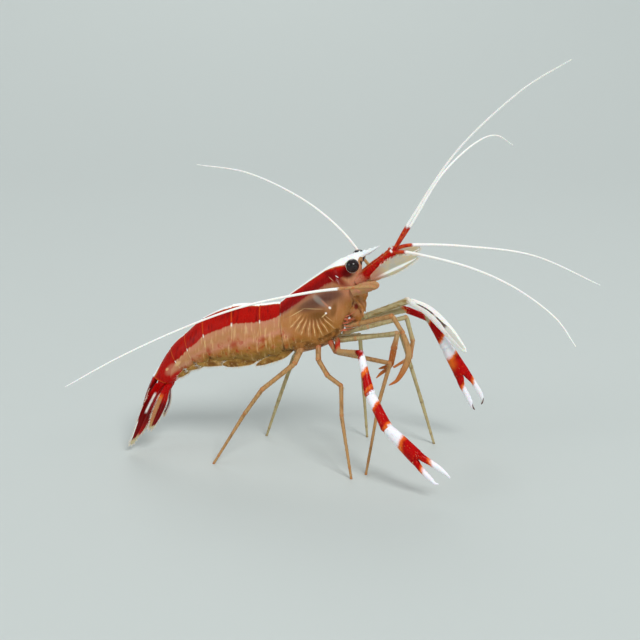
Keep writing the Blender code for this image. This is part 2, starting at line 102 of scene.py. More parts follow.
CARAPACE_EDGE = (  # place, and how far down the shell reaches there, as a share of the half turn
    (0.0, 0.78), (0.5, 0.83), (3.0, 0.835), (5.0, 0.83), (5.5, 0.79), (5.9, 0.66), (6.2, 0.48),
    (6.5, 0.37), (6.9, 0.37), (7.15, 0.7), (7.4, 0.985), (9.0, 0.985),
)
ROSTRUM = 6.9  # the place where the shell begins to close under the rostrum
SHELL = 0.14  # thickness of the carapace
ORBIT_ROOM = 0.15  # between an eye and the shell round it
TEETH = (  # of the rostrum: place on the ridge, height, and whether above or below it
    (4.5, 0.3, 1), (5.3, 0.3, 1), (6.05, 0.3, 1), (6.75, 0.27, 1), (7.35, 0.22, 1), (7.95, 0.18, 1),
    (8.5, 0.13, 1), (7.8, 0.17, -1), (8.35, 0.13, -1),
)
# How far round each tail plate reaches: at the middle of its side lobe, and at its two ends.
LOBES = ((0.80, 0.66), (0.86, 0.72), (0.84, 0.68), (0.84, 0.66), (0.84, 0.66), (0.86, 0.76))
WIDE_LOBE = 2  # this plate's lobes lie over those of its neighbours

# Swimmerets: how far back and down each leaf goes, in lengths of its ring, and its half widths.
PLEOPOD_PATH = np.array(((-0.12, -0.33), (0.05, -0.19), (0.35, -0.16), (0.7, -0.13), (1.1, -0.08)))
PLEOPOD_WIDTHS = (0.14, 0.2, 0.2, 0.17, 0.06)
PLEOPOD_RINGS = 5
FIRST_PLEOPOD_REACH = 0.7  # how far in front of the others the first ones begin

# The tail fan's own axes: along the fan, towards its underside, and sideways.
FAN_ROOT = np.array((-29.1, 0.0, 13.3))
FAN_ALONG = np.array((-0.425, 0.0, -0.905))
FAN_UNDER = np.array((0.905, 0.0, -0.425))


class Blade(NamedTuple):
    """A blade of the fan: points (along, under, out) and half widths down its middle."""

    points: tuple
    widths: tuple
    faces: tuple  # how far its flat side faces the fan's underside, and sideways
    thick: float
    rib: float


FAN_BLADES = {
    "telson": Blade(
        ((0.0, -1.35, 0.0), (4.0, -1.25, 0.0), (9.4, -0.55, 0.0)),
        (1.25, 1.2, 0.85, 0.3), (1.0, 0.0), 0.42, 0.14
    ),
    "uropod_inner": Blade(
        ((0.35, 0.2, 1.25), (5.0, 0.1, 2.2), (9.5, 0.2, 2.9), (13.0, 0.0, 3.3)),
        (1.3, 1.6, 1.25, 0.35), (0.8, 0.6), 0.13, 0.14
    ),
    "uropod_outer": Blade(
        ((0.35, 1.45, 1.0), (3.0, 1.9, 2.5), (5.6, 2.1, 3.5), (8.0, 2.2, 4.2)),
        (0.8, 1.35, 1.25, 0.5), (0.8, 0.6), 0.14, 0.13
    ),
}

# ---------------------------------------------------------------- the head's tables

EYE_RADIUS = 1.2
EYES = {RIGHT: np.array((6.0, -3.0, 36.0)), LEFT: np.array((6.5, 3.0, 36.6))}
STALK_ROOT = np.array((4.9, 0.9, 35.7))
STALK_RADII = (0.55, 0.72, 0.95, 1.06)
PEDUNCLE = ((6.6, 1.6, 32.8), (9.8, 1.6, 35.5), (11.7, 1.6, 37.2), (13.1, 1.5, 38.5))
PEDUNCLE_RADII = (0.85, 0.9, 0.78, 0.62)
SCALE = ((9.2, 3.4, 33.9), (11.6, 3.8, 35.5), (14.2, 4.2, 36.9), (17.1, 4.6, 38.1))
SCALE_WIDTHS = (0.5, 1.2, 1.2, 0.3)
SCALE_FACES = (0.15, 0.95, 0.25)
ANTENNA_BASE = ((6.0, 2.9, 31.4), (8.5, 3.8, 32.5), (10.8, 4.4, 33.2))
ANTENNA_BASE_RADII = (0.78, 0.95, 0.62)
# Small jaw legs of the left side: the points of each lobe, its half widths and its flatness.
MOUTH_LOBES = (
    (((5.6, 1.1, 31.8), (7.2, 1.2, 30.8), (8.0, 1.15, 29.4)), (0.8, 1.0, 0.5), 0.5),
    (((5.4, 1.3, 30.2), (7.0, 1.35, 29.0), (7.7, 1.2, 27.3)), (0.9, 1.0, 0.45), 0.45),
    (((5.0, 1.5, 28.6), (6.4, 1.5, 27.4), (7.1, 1.2, 25.6)), (0.9, 0.95, 0.4), 0.45),
    (((5.9, 1.9, 30.6), (7.4, 2.0, 28.8), (7.9, 1.8, 26.8)), (0.3, 0.26, 0.14), 0.8),
    (((5.2, 0.5, 27.4), (6.3, 0.5, 26.2), (6.6, 0.45, 24.9)), (0.6, 0.6, 0.3), 0.6),
)
TUFT_LINE = np.array(((3.9, 2.7, 24.2), (5.3, 2.5, 26.9)))  # the tufts' roots stand along it
TUFT_HAIRS = 28
TUFT_STOUTNESS = 5.0  # in radii of a plain bristle
STEM_HAIRS = 260
STEM_HAIR = 0.42  # length


class Feeler(NamedTuple):
    """The points that a feeler's curve passes, and the share of it that has its root's colour."""

    points: tuple
    coloured: float
    warmth: float  # 0 for a tan root, 1 for a red one


FEELERS = {
    "antenna_right": Feeler(
        ((10.3, -5.3, 32.9), (7.9, -5.6, 32.9), (-0.8, -6.5, 31.9), (-12.3, -8.2, 29.4),
         (-22.7, -9.6, 25.5), (-32.6, -13.0, 21.1), (-41.1, -17.0, 16.6)), 0.115, 0.45
    ),
    "antenna_left": Feeler(
        ((9.3, 5.3, 33.3), (7.6, 5.8, 35.0), (2.6, 7.5, 40.6), (-5.1, 11.0, 45.6),
         (-16.0, 16.0, 49.5), (-26.8, 20.0, 50.5)), 0.115, 0.2
    ),
    "antennule_outer_right": Feeler(
        ((12.9, -1.35, 38.4), (15.9, -1.6, 44.2), (23.1, -3.0, 55.6), (32.6, -5.6, 65.2),
         (40.4, -8.0, 70.4)), 0.11, 0.85
    ),
    "antennule_outer_left": Feeler(
        ((12.9, 1.35, 38.4), (15.9, 2.0, 43.0), (20.4, 5.4, 50.6), (25.6, 9.8, 55.6),
         (29.6, 13.6, 57.1), (33.0, 17.0, 55.1)), 0.13, 0.85
    ),
    "antennule_inner_left": Feeler(
        ((12.8, 1.6, 38.3), (16.3, 2.2, 39.0), (25.3, 5.2, 38.4), (37.2, 9.2, 36.3),
         (49.5, 13.0, 30.5)), 0.08, 1.0
    ),
    "antennule_inner_right": Feeler(
        ((12.8, -1.6, 38.3), (16.4, -2.4, 38.3), (25.5, -5.2, 36.8), (33.1, -8.2, 34.2),
         (39.6, -11.4, 30.2), (43.1, -13.0, 25.8)), 0.06, 1.0
    ),
}

# ---------------------------------------------------------------- the limbs' tables


class Limb(NamedTuple):
    """Rows of x, y, z and radius at each joint from the body to the end, and the limb's finish."""

    rows: tuple
    finish: str = "leg"
    cuts: tuple = ()  # shares of the length where a joint divides a straight stretch
    flat: float = 1.0  # thickness against width
    curved: int = 0  # how many of the last stretches are one curved blade
    fingers: tuple = ()  # each finger's rows


RIGHT_FINGERS = (
    ((19.13, -16.8, 7.21, 0.63), (19.95, -16.97, 6.75, 0.57), (20.97, -17.13, 6.23, 0.5),
     (22.17, -17.3, 5.5, 0.48), (23.12, -17.47, 4.84, 0.42), (23.68, -17.6, 4.35, 0.27),
     (23.88, -17.7, 4.1, 0.1)),
    ((18.2, -16.4, 6.1, 0.66), (18.97, -16.63, 5.13, 0.55), (19.6, -16.87, 4.54, 0.49),
     (20.3, -17.1, 3.94, 0.43), (20.94, -17.33, 3.39, 0.4), (21.45, -17.55, 3.02, 0.27),
     (22.06, -17.7, 3.0, 0.1)),
)
LEFT_FINGERS = (
    ((26.04, 9.3, 13.96, 0.7), (26.58, 9.4, 13.25, 0.62), (27.26, 9.5, 12.4, 0.48),
     (27.88, 9.6, 11.45, 0.44), (28.54, 9.7, 10.36, 0.44), (29.04, 9.8, 9.26, 0.4),
     (29.11, 9.85, 8.38, 0.24), (28.93, 9.9, 7.83, 0.09)),
    ((24.78, 9.1, 13.25, 0.76), (25.03, 9.11, 12.33, 0.68), (25.31, 9.13, 11.49, 0.54),
     (25.72, 9.14, 10.7, 0.46), (26.33, 9.16, 9.58, 0.48), (26.88, 9.17, 8.43, 0.45),
     (27.24, 9.19, 7.66, 0.26), (27.78, 9.2, 6.98, 0.09)),
)
SMALL_FINGERS = (
    ((12.75, -3.6, 19.1, 0.29), (12.1, -3.6, 18.5, 0.28), (11.5, -3.6, 18.25, 0.24),
     (10.8, -3.6, 18.0, 0.09)),
    ((13.15, -3.6, 18.9, 0.29), (12.45, -3.6, 18.1, 0.3), (11.4, -3.6, 17.3, 0.25),
     (10.4, -3.6, 16.3, 0.09)),
)
LIMBS = {
    "maxilliped_right": Limb(
        ((5.0, -1.6, 24.9, 0.5), (13.2, -6.2, 28.2, 0.45), (15.1, -6.8, 25.4, 0.42), (16.2, -7.4, 21.7, 0.55),
         (14.6, -7.6, 17.7, 0.5), (12.9, -7.6, 16.3, 0.12)), "jaw", (0.12,), 0.75, 3
    ),
    "maxilliped_left": Limb(
        ((5.0, 1.6, 24.9, 0.5), (15.3, 4.6, 28.5, 0.62), (18.9, 5.2, 26.5, 1.0), (22.4, 5.9, 22.9, 0.98),
         (25.8, 6.5, 18.8, 0.42)), "white_blade", (0.12,), 0.4, 3
    ),
    "claw_leg_right": Limb(
        ((3.4, -2.4, 22.8, 0.5), (3.7, -3.8, 20.9, 0.5), (8.0, -7.0, 21.6, 0.62), (9.9, -10.2, 15.5, 0.95),
         (13.1, -13.2, 10.7, 1.0), (18.8, -16.8, 6.6, 1.15)), "claw_right", fingers=RIGHT_FINGERS
    ),
    "claw_leg_left": Limb(
        ((4.5, 2.3, 23.9, 0.5), (8.2, 4.6, 24.9, 0.5), (14.6, 6.6, 26.4, 0.66), (18.9, 7.5, 24.6, 0.62),
         (22.1, 8.3, 19.4, 1.05), (25.5, 9.2, 13.6, 1.15)), "claw_left", fingers=LEFT_FINGERS
    ),
    "second_leg_right": Limb(
        ((3.6, -1.3, 22.2, 0.45), (14.0, -3.4, 24.5, 0.42), (13.4, -3.5, 21.7, 0.58),
         (13.0, -3.6, 19.0, 0.38)), "small_claw", (0.2,), fingers=SMALL_FINGERS
    ),
    "second_leg_left": Limb(
        ((4.1, 1.3, 23.0, 0.45), (15.1, 3.0, 25.8, 0.42), (16.3, 3.2, 21.4, 0.42), (15.9, 3.2, 18.3, 0.4),
         (13.0, 3.2, 16.4, 0.2)), "small_claw", (0.2,)
    ),
    "third_leg_right": Limb(
        ((1.9, -1.6, 22.3, 0.6), (3.2, -2.7, 20.5, 0.46), (12.9, -5.0, 19.5, 0.4), (11.2, -6.0, 12.9, 0.34),
         (9.2, -8.0, 0.0, 0.22)), "leg", (0.93,)
    ),
    "third_leg_left": Limb(
        ((2.3, 1.6, 21.7, 0.6), (14.0, 6.0, 21.9, 0.4), (18.0, 8.0, 8.4, 0.34), (20.4, 9.0, 0.0, 0.22)),
        "far_leg", (0.1, 0.55, 0.94)
    ),
    "fourth_leg_right": Limb(
        ((-0.1, -1.6, 22.0, 0.6), (0.2, -3.4, 19.1, 0.48), (2.2, -6.0, 17.1, 0.46), (4.8, -8.0, 16.0, 0.4),
         (5.0, -9.0, 10.9, 0.36), (6.9, -10.3, 0.0, 0.22)), "leg", (0.93,)
    ),
    "fourth_leg_left": Limb(
        ((-0.1, 1.6, 22.0, 0.6), (6.2, 9.0, 20.6, 0.4), (6.9, 10.0, 10.0, 0.34), (7.6, 10.8, 0.0, 0.22)),
        "far_leg", (0.12, 0.93)
    ),
    "fifth_leg_right": Limb(
        ((-2.7, -1.6, 21.8, 0.8), (-4.0, -4.0, 18.4, 0.48), (-9.5, -6.0, 14.0, 0.42),
         (-12.6, -6.2, 9.5, 0.36), (-18.3, -6.7, 0.0, 0.22)), "leg", (0.94,)
    ),
    "fifth_leg_left": Limb(
        ((-2.7, 1.6, 21.8, 0.6), (-5.8, 6.2, 16.6, 0.42), (-9.0, 7.5, 7.6, 0.34), (-11.6, 8.8, 0.0, 0.22)),
        "far_leg", (0.14, 0.93)
    ),
}
FINGER_ROOT = 1.9  # how far a finger reaches back into its palm, as a share of its half width
FLAT_FROM = 0.35  # the share of a limb's length past which it is flattened

# ---------------------------------------------------------------- the fringes' tables


class Fringe(NamedTuple):
    """Hairs along an edge: how many, the shares of the edge between which they stand, and their lean."""

    count: int
    first: float
    last: float
    sway: float = 0.45


SWIMMERET_FRINGE = Fringe(90, 0.35, 0.98, 0.9)
SWIMMERET_HAIR = 0.6  # length
FAN_FRINGE = Fringe(420, 0.3, 0.985)
SCALE_FRINGE = Fringe(260, 0.35, 0.985)
SCALE_HAIR = 0.45

# ---------------------------------------------------------------- curves and surfaces

EVEN_STEPS = 400  # steps of the table that turns shares of a curve's length into points


def unit(vectors):
    """Vectors at length one, along the last axis."""
    vectors = np.asarray(vectors, dtype=float)
    return vectors / np.maximum(np.linalg.norm(vectors, axis=-1, keepdims=True), 1e-12)


def ease(value, low, high):
    """0 below low, 1 above high, and 3t2 - 2t3 of the share t between them."""
    share = np.clip((np.asarray(value, dtype=float) - low) / (high - low), 0.0, 1.0)
    return share * share * (3 - 2 * share)


def bell(value, middle, width):
    """A bump of height 1 at middle: e to the minus square of the distance over the width."""
    return np.exp(-(((np.asarray(value, dtype=float) - middle) / width) ** 2))


def circle(count):
    """Angles at equal steps round a circle."""
    return 2 * np.pi * np.arange(count) / count


def column(values):
    """Values set below each other, so that they run along a grid's first axis."""
    return np.asarray(values, dtype=float)[:, None]


def spline(rows, places):
    """Rows of numbers read at fractional places on the Catmull-Rom curve through them."""
    rows = np.asarray(rows, dtype=float)
    padded = np.vstack((2 * rows[0] - rows[1], rows, 2 * rows[-1] - rows[-2]))
    places = np.clip(np.asarray(places, dtype=float), 0.0, len(rows) - 1.0)
    first = np.minimum(places.astype(int), len(rows) - 2)
    t = column(places - first)
    before, here, following, after = (padded[first + step] for step in range(4))
    return 0.5 * (
        2 * here
        + (following - before) * t
        + (2 * before - 5 * here + 4 * following - after) * t**2
        + (3 * here - before - 3 * following + after) * t**3
    )


def read(places, at, rows):
    """Rows that stand at known places, read at others by straight lines between them."""
    return np.stack([np.interp(places, at, values) for values in np.transpose(rows)], axis=1)


def travelled(points):
    """The distance run along a row of points, from 0 at the first."""
    return np.concatenate(((0.0,), np.cumsum(np.linalg.norm(np.diff(points, axis=0), axis=1))))


def smooth_path(points, steps):
    """Points at the given shares of the length of the smooth curve through a few points."""
    fine = spline(points, np.linspace(0, len(points) - 1, 60 * len(points)))
    run = travelled(fine)
    even = read(np.linspace(0, run[-1], EVEN_STEPS), run, fine)
    return read(steps, np.linspace(0, 1, EVEN_STEPS), even)


def smooth_values(values, steps):
    """Widths or radii read smoothly at the given shares."""
    return spline(column(values), np.asarray(steps) * (len(values) - 1))[:, 0]


def rounded(count, root=0.0, tip=0.06):
    """Shares from 0 to 1, closer together at both ends, and a width factor for each of them.

    The factor closes in a quarter oval over the root's share of the length and over the tip's.
    """
    steps = (1 - np.cos(np.linspace(0, np.pi, count))) / 2
    factor = np.ones(count)
    if root:
        factor = factor * np.sqrt(1 - np.clip(1 - steps / root, 0, 1) ** 2)
    if tip:
        factor = factor * np.sqrt(1 - np.clip((steps - 1 + tip) / tip, 0, 1) ** 2)
    return steps, np.maximum(factor, 0.02)


def mirrored(points, side):
    """Points given for +Y, on the side asked for."""
    return np.asarray(points, dtype=float) * (1.0, side, 1.0)


def drawn(points, values, steps, closing=1.0, side=LEFT):
    """The smooth path through points given for +Y, on the side asked for, and the widths along it."""
    return smooth_path(mirrored(points, side), steps), smooth_values(values, steps) * closing


def body_surface(rows, places, turns, size=1.0, height=0.0, drop=0.0):
    """Points on the body: at each place an oval between the row's dorsal and ventral points.

    With turn a from the back, height is half the section's height times cos a, and breadth is the
    half width times sin a times (1 - egg cos a). The section grows by size, and by height over its
    half width; drop lowers its ventral point. All of them are grids of one shape, or numbers.
    """
    places, turns, size, height, drop = np.broadcast_arrays(places, turns, size, height, drop)
    row = spline(rows, places.ravel()).reshape(*places.shape, 5)
    level = np.zeros(places.shape)
    top = np.stack((row[..., 0], level, row[..., 1]), axis=-1)
    bottom = np.stack((row[..., 2], level, row[..., 3] - drop), axis=-1)
    lift = (top - bottom) / 2 * np.cos(turns)[..., None]
    across = row[..., 4] * np.sin(turns) * (1 - BODY_EGG * np.cos(turns))
    size = size + height / np.maximum(row[..., 4], 0.6)  # height counts less where the body is thin
    return (top + bottom) / 2 + size[..., None] * (lift + across[..., None] * SIDEWAYS)


def body_zone(bands, places, turns):
    """A mark on the body that runs 0-1 over the white stripe, 1-2 red, 2-3 flank, 3-4 belly."""
    places, turns = np.broadcast_arrays(places, turns)
    at, *borders = np.transpose(bands)
    down = np.abs(turns) / np.pi
    borders = [0 * down, *(np.interp(places, at, border) for border in borders), 1 + 0 * down]
    return sum(
        np.clip((down - upper) / np.maximum(lower - upper, 1e-6), 0.0, 1.0)
        for upper, lower in zip(borders[:-1], borders[1:])
    )


def frames(path, faces):
    """Wide and thin unit directions across a path: wide = path direction x faces."""
    tangents = unit(np.gradient(np.asarray(path, dtype=float), axis=0))
    wide = unit(np.cross(tangents, faces))
    return wide, unit(np.cross(wide, tangents))


def sweep(path, widths, thicks, sides, faces=SIDEWAYS):
    """An oval carried along a path: path + width cos a * wide + thick sin a * thin."""
    wide, thin = frames(path, faces)
    turn = circle(sides)[None, :, None]
    breadth, depth = (np.reshape(size, (len(path), -1, 1)) for size in (widths, thicks))
    spokes = breadth * np.cos(turn) * wide[:, None] + depth * np.sin(turn) * thin[:, None]
    return np.asarray(path)[:, None] + spokes


def dented(grid, centre, radius):
    """The grid with every point inside a ball moved straight out to the ball's surface."""
    away = grid - centre
    distance = np.linalg.norm(away, axis=-1, keepdims=True)
    return np.where(distance < radius, centre + away / np.maximum(distance, 1e-9) * radius, grid)


# ---------------------------------------------------------------- patches and pieces


class Patch(NamedTuple):
    """Points, faces with four and with three corners, and the numbers kept at each point.

    Points are in millimetres of the design frame, except for the stage's.
    """

    points: np.ndarray
    quads: np.ndarray
    fans: np.ndarray
    marks: dict


NO_FANS = np.empty((0, 3), int)


def woven(index):
    """Four-cornered faces between neighbouring rings of point numbers, closed round each ring."""
    beside = np.roll(index, -1, axis=-1)
    rows = (index[..., :-1, :], beside[..., :-1, :], beside[..., 1:, :], index[..., 1:, :])
    return np.stack(rows, axis=-1).reshape(-1, 4)


def tube(grid, **marks):
    """A closed skin over rings of points, with a fan to a middle point at each end."""
    rings, sides = grid.shape[:2]
    index = np.arange(rings * sides).reshape(rings, sides)
    beside = np.roll(index, -1, axis=1)
    pole = np.full(sides, rings * sides)
    fans = (
        np.stack((beside[0], index[0], pole), axis=-1),
        np.stack((index[-1], beside[-1], pole + 1), axis=-1),
    )
    points = np.vstack((grid.reshape(-1, 3), grid[0].mean(axis=0), grid[-1].mean(axis=0)))
    spread = {}
    for name, values in marks.items():
        full = np.broadcast_to(values, (rings, sides))
        spread[name] = np.concatenate((full.ravel(), (full[0].mean(), full[-1].mean())))
    return Patch(points, woven(index), np.vstack(fans), spread)


def oval(path, widths, thicks, sides, along, faces=SIDEWAYS, side=1, **marks):
    """The closed skin of a swept oval, marked along it and, from -1 to 1, across its width."""
    across = side * np.cos(circle(sides))[None, :]
    return tube(sweep(path, widths, thicks, sides, faces), along=column(along), across=across, **marks)


def hoop(grid, **marks):
    """A ring that closes on itself both along and around, such as a rim."""
    rings, sides = grid.shape[:2]
    index = np.arange(rings * sides).reshape(rings, sides)
    spread = {name: np.full(rings * sides, value) for name, value in marks.items()}
    return Patch(grid.reshape(-1, 3), woven(np.vstack((index, index[:1]))), NO_FANS, spread)


def plate(outer, inner, **marks):
    """A thin closed plate between an outer and an inner grid, joined all round its edges."""
    rings, sides = outer.shape[:2]
    index = np.arange(rings * 2 * sides).reshape(rings, 2 * sides)
    quads = [woven(index)]
    for row, order in ((index[0], (3, 2, 1, 0)), (index[-1], (0, 1, 2, 3))):
        near, far = row[:sides], row[::-1][:sides]
        quads.append(np.stack((near[:-1], near[1:], far[1:], far[:-1]), axis=-1)[:, order])
    spread = {}
    for name, values in marks.items():
        full = np.broadcast_to(values, (rings, sides))
        spread[name] = np.concatenate((full, full[:, ::-1]), axis=1).ravel()
    points = np.concatenate((outer, inner[:, ::-1]), axis=1).reshape(-1, 3)
    return Patch(points, np.vstack(quads), NO_FANS, spread)


def cone(root, tip, width, flat=1.0, faces=SIDEWAYS, **marks):
    """A tooth: a straight cone of the given root radius, a little hollow towards its point."""
    steps = column(np.linspace(0, 1, 9))
    path = np.asarray(root) + steps * (np.asarray(tip) - root)
    radii = width * np.maximum((1 - steps) ** 1.2, 0.04)
    return tube(sweep(path, radii, radii * flat, 10, faces), **marks)


def outside_out(patch):
    """The patch with its faces turned round if they enclose a negative volume."""
    triangles = np.vstack((patch.quads[:, [0, 1, 2]], patch.quads[:, [0, 2, 3]], patch.fans))
    points = patch.points - patch.points.mean(axis=0)
    a, b, c = (points[triangles[:, corner]] for corner in range(3))
    if np.einsum("ij,ij->", a, np.cross(b, c)) < 0:
        return patch._replace(quads=patch.quads[:, ::-1], fans=patch.fans[:, ::-1])
    return patch


def joined(patches):
    """Several closed patches as one; a mark that one of them lacks is 0 there."""
    patches = [outside_out(patch) for patch in patches]
    starts = np.cumsum([0] + [len(patch.points) for patch in patches])
    names = sorted({name for patch in patches for name in patch.marks})
    marks = {
        name: np.concatenate([patch.marks.get(name, np.zeros(len(patch.points))) for patch in patches])
        for name in names
    }
    return Patch(
        np.vstack([patch.points for patch in patches]),
        np.vstack([patch.quads + start for patch, start in zip(patches, starts)]),
        np.vstack([patch.fans + start for patch, start in zip(patches, starts)]),
        marks,
    )


def settle(points):
    """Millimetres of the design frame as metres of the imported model's frame."""
    return (np.asarray(points, dtype=float) - MIDDLE) * MM


def make_mesh(name, points, patch, material):
    """A smooth mesh object in the scene from points in metres and a patch's faces and marks."""
    mesh = bpy.data.meshes.new(name)
    corners = np.concatenate((patch.quads.ravel(), patch.fans.ravel())).astype(np.int32)
    sizes = np.concatenate((np.full(len(patch.quads), 4), np.full(len(patch.fans), 3)))
    mesh.vertices.add(len(points))
    mesh.vertices.foreach_set("co", points.astype(np.float32).ravel())
    mesh.loops.add(len(corners))
    mesh.loops.foreach_set("vertex_index", corners)
    mesh.polygons.add(len(sizes))
    mesh.polygons.foreach_set("loop_start", np.concatenate(((0,), np.cumsum(sizes)[:-1])).astype(np.int32))
    mesh.update(calc_edges=True)
    for mark, values in patch.marks.items():
        mesh.attributes.new(mark, "FLOAT", "POINT").data.foreach_set("value", values.astype(np.float32))
    mesh.shade_smooth()
    mesh.materials.append(material)
    made = bpy.data.objects.new(name, mesh)
    bpy.context.scene.collection.objects.link(made)
    return made


def make_piece(name, patches, look, slot, *nodes, sharp=1.0):
    """A mesh object from closed patches, riding on the shrimp in place of the named solids."""
    patch = joined(patches)
    piece = make_mesh(name, settle(patch.points), patch, finish(look))
    piece.data.set_sharp_from_angle(angle=sharp)
    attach(piece, "root")
    if nodes:
        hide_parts(*nodes)
    return piece


# ---------------------------------------------------------------- settings a user would change


def colour(name, description, *values):
    """A colour setting whose default, given as display values from 0 to 255, is kept as linear light."""
    share = np.array(values) / 255
    linear = np.where(share <= 0.04045, share / 12.92, ((share + 0.055) / 1.055) ** 2.4).tolist()
    return FloatVectorProperty(
        name=name, description=description, subtype="COLOR", size=3, min=0.0, max=1.0, default=tuple(linear)
    )


def number(name, description, default, least=0.0, **more):
    """A setting that is one number, no less than the least."""
    return FloatProperty(name=name, description=description, default=default, min=least, **more)


class ShrimpColours(PropertyGroup):
    """Every colour of the shrimp."""

    # white also paints small glints on the carapace as highlights
    white: colour("White", "The stripe along the back, and the feelers", 255, 253, 248)
    ochre: colour("Ochre", "The thin line between the white stripe and the red band", 186, 92, 40)
    red: colour("Red", "The band along each side of the back", 174, 18, 8)
    crimson: colour("Crimson", "Dark streaks in the red band", 118, 4, 6)
    rose: colour("Rose", "The flank just below the red band", 199, 136, 106)
    coral: colour("Coral", "The bristles at the roots of the jaw legs", 226, 92, 66)
    tan: colour("Tan", "The middle of the flank", 188, 132, 88)
    amber: colour("Amber", "The lower flank and the gill cover", 176, 116, 58)
    rust_red: colour("Rust red", "Blotches low on the flank where two plates meet", 166, 52, 26)
    olive: colour("Olive", "The belly and the swimmerets", 158, 118, 56)
    umber: colour("Umber", "Dark patches on the lower flank", 118, 76, 34)
    lilac: colour("Lilac", "The clear shell over the stomach", 124, 88, 78)
    plum: colour("Plum", "The shade above the gills", 88, 54, 46)
    cream: colour("Cream", "Gill lines, seams and small spots", 240, 204, 148)
    leg: colour("Leg", "The walking legs", 184, 142, 94)
    # leg_deep and far_leg_deep give the legs' darker streaks, and also the painted shade along their side
    # edges
    leg_deep: colour("Leg shade", "Darker edges and streaks of the walking legs", 140, 100, 62)
    far_leg: colour("Pale leg", "The clearer legs of the left side", 186, 172, 130)
    far_leg_deep: colour("Pale leg shade", "Darker streaks on the clearer legs", 150, 128, 80)
    joint: colour("Joint", "The rings at the joints of the legs", 196, 112, 64)
    rust: colour("Rust", "The ends of the small claws and jaw legs", 186, 102, 44)
    orange: colour("Orange", "Where red meets white on the claws", 236, 112, 34)
    claw_red: colour("Claw red", "The red bands of the claw legs", 182, 6, 6)
    claw_white: colour("Claw white", "The white bands of the claw legs", 246, 244, 252)
    clear: colour("Clear", "The thin clear blades", 206, 192, 152)
    haze: colour("Haze", "The clear grey of thin blades", 190, 188, 176)
    # eye also paints the dark slit of painted shade on the face
    eye: colour("Eye", "The dark of the eye", 14, 9, 10)


class ShrimpSizes(PropertyGroup):
    """Sizes that are finer than the solids'."""

    plate_thickness: number("Plate", "Thickness of a tail plate", 0.12 * MM, unit="LENGTH")
    feeler_root: number("Feeler root", "Radius of a feeler at its root", 0.27 * MM, unit="LENGTH")
    feeler_tip: number("Feeler tip", "Radius of a feeler at its tip", 0.12 * MM, unit="LENGTH")
    bristle: number("Bristle", "Radius of a bristle at its root", 0.028 * MM, unit="LENGTH")
    fringe: number("Fringe", "Length of the hairs round the tail fan", 0.5 * MM, unit="LENGTH")
    leg_bristles: IntProperty(name="Leg bristles", description="Bristles on each leg", default=110, min=0)


class StageSettings(PropertyGroup):
    """Camera, light and floor."""

    turn: number("Turn", "Camera's turn round the shrimp", np.radians(8.0), -np.pi, subtype="ANGLE")
    rise: number("Rise", "Camera's height as an angle", np.radians(14.0), subtype="ANGLE")
    distance: number("Distance", "Camera to subject", 0.1888, unit="LENGTH")
    lens: number("Lens", "Focal length on a 36 mm sensor", 60.0)
    key: number("Key", "Power of the main light in watts", 17.0)
    fill: number("Fill", "Power of the fill light in watts", 5.0)
    sky: number("Sky", "Strength of the light from all round", 0.5)
    floor: colour("Floor", "The plain floor", 200, 207, 204)


def paint(name):
    """A colour setting as red, green, blue and 1."""
    return (*getattr(bpy.context.scene.shrimp_colours, name), 1.0)


def length(name):
    """A size setting in millimetres."""
    return getattr(bpy.context.scene.shrimp_sizes, name) / MM


# ---------------------------------------------------------------- the language of materials


class Value:
    """A number or colour that a material's nodes work out; arithmetic on it adds nodes."""

    def __init__(self, graph, socket):
        self.graph = graph
        self.socket = socket

    def math(self, operation, *others):
        """What a math node makes of this value and the others."""
        return self.graph.add("ShaderNodeMath", self, *others, operation=operation)

    __add__ = partialmethod(math, "ADD")
    __sub__ = partialmethod(math, "SUBTRACT")
    __mul__ = partialmethod(math, "MULTIPLY")
    __truediv__ = partialmethod(math, "DIVIDE")
    __abs__ = partialmethod(math, "ABSOLUTE")

    def rest(self):
        """What is missing from this value to 1."""
        return self.graph.add("ShaderNodeMath", 1.0, self, operation="SUBTRACT")

    def ease(self, low, high, first=0.0, last=1.0):
        """A smooth step from first to last as this value goes from low to high."""
        values = (self, low, high, first, last)
        return self.graph.add("ShaderNodeMapRange", *values, interpolation_type="SMOOTHSTEP")

    def band(self, low, high, soft):
        """1 between low and high, with soft borders."""
        return self.ease(low - soft, low + soft) * self.ease(high - soft, high + soft, 1.0, 0.0)

    def wobble(self, noise, amount):
        """This value shifted by noise, from minus to plus half the amount."""
        return (noise - 0.5).math("MULTIPLY_ADD", amount, self)


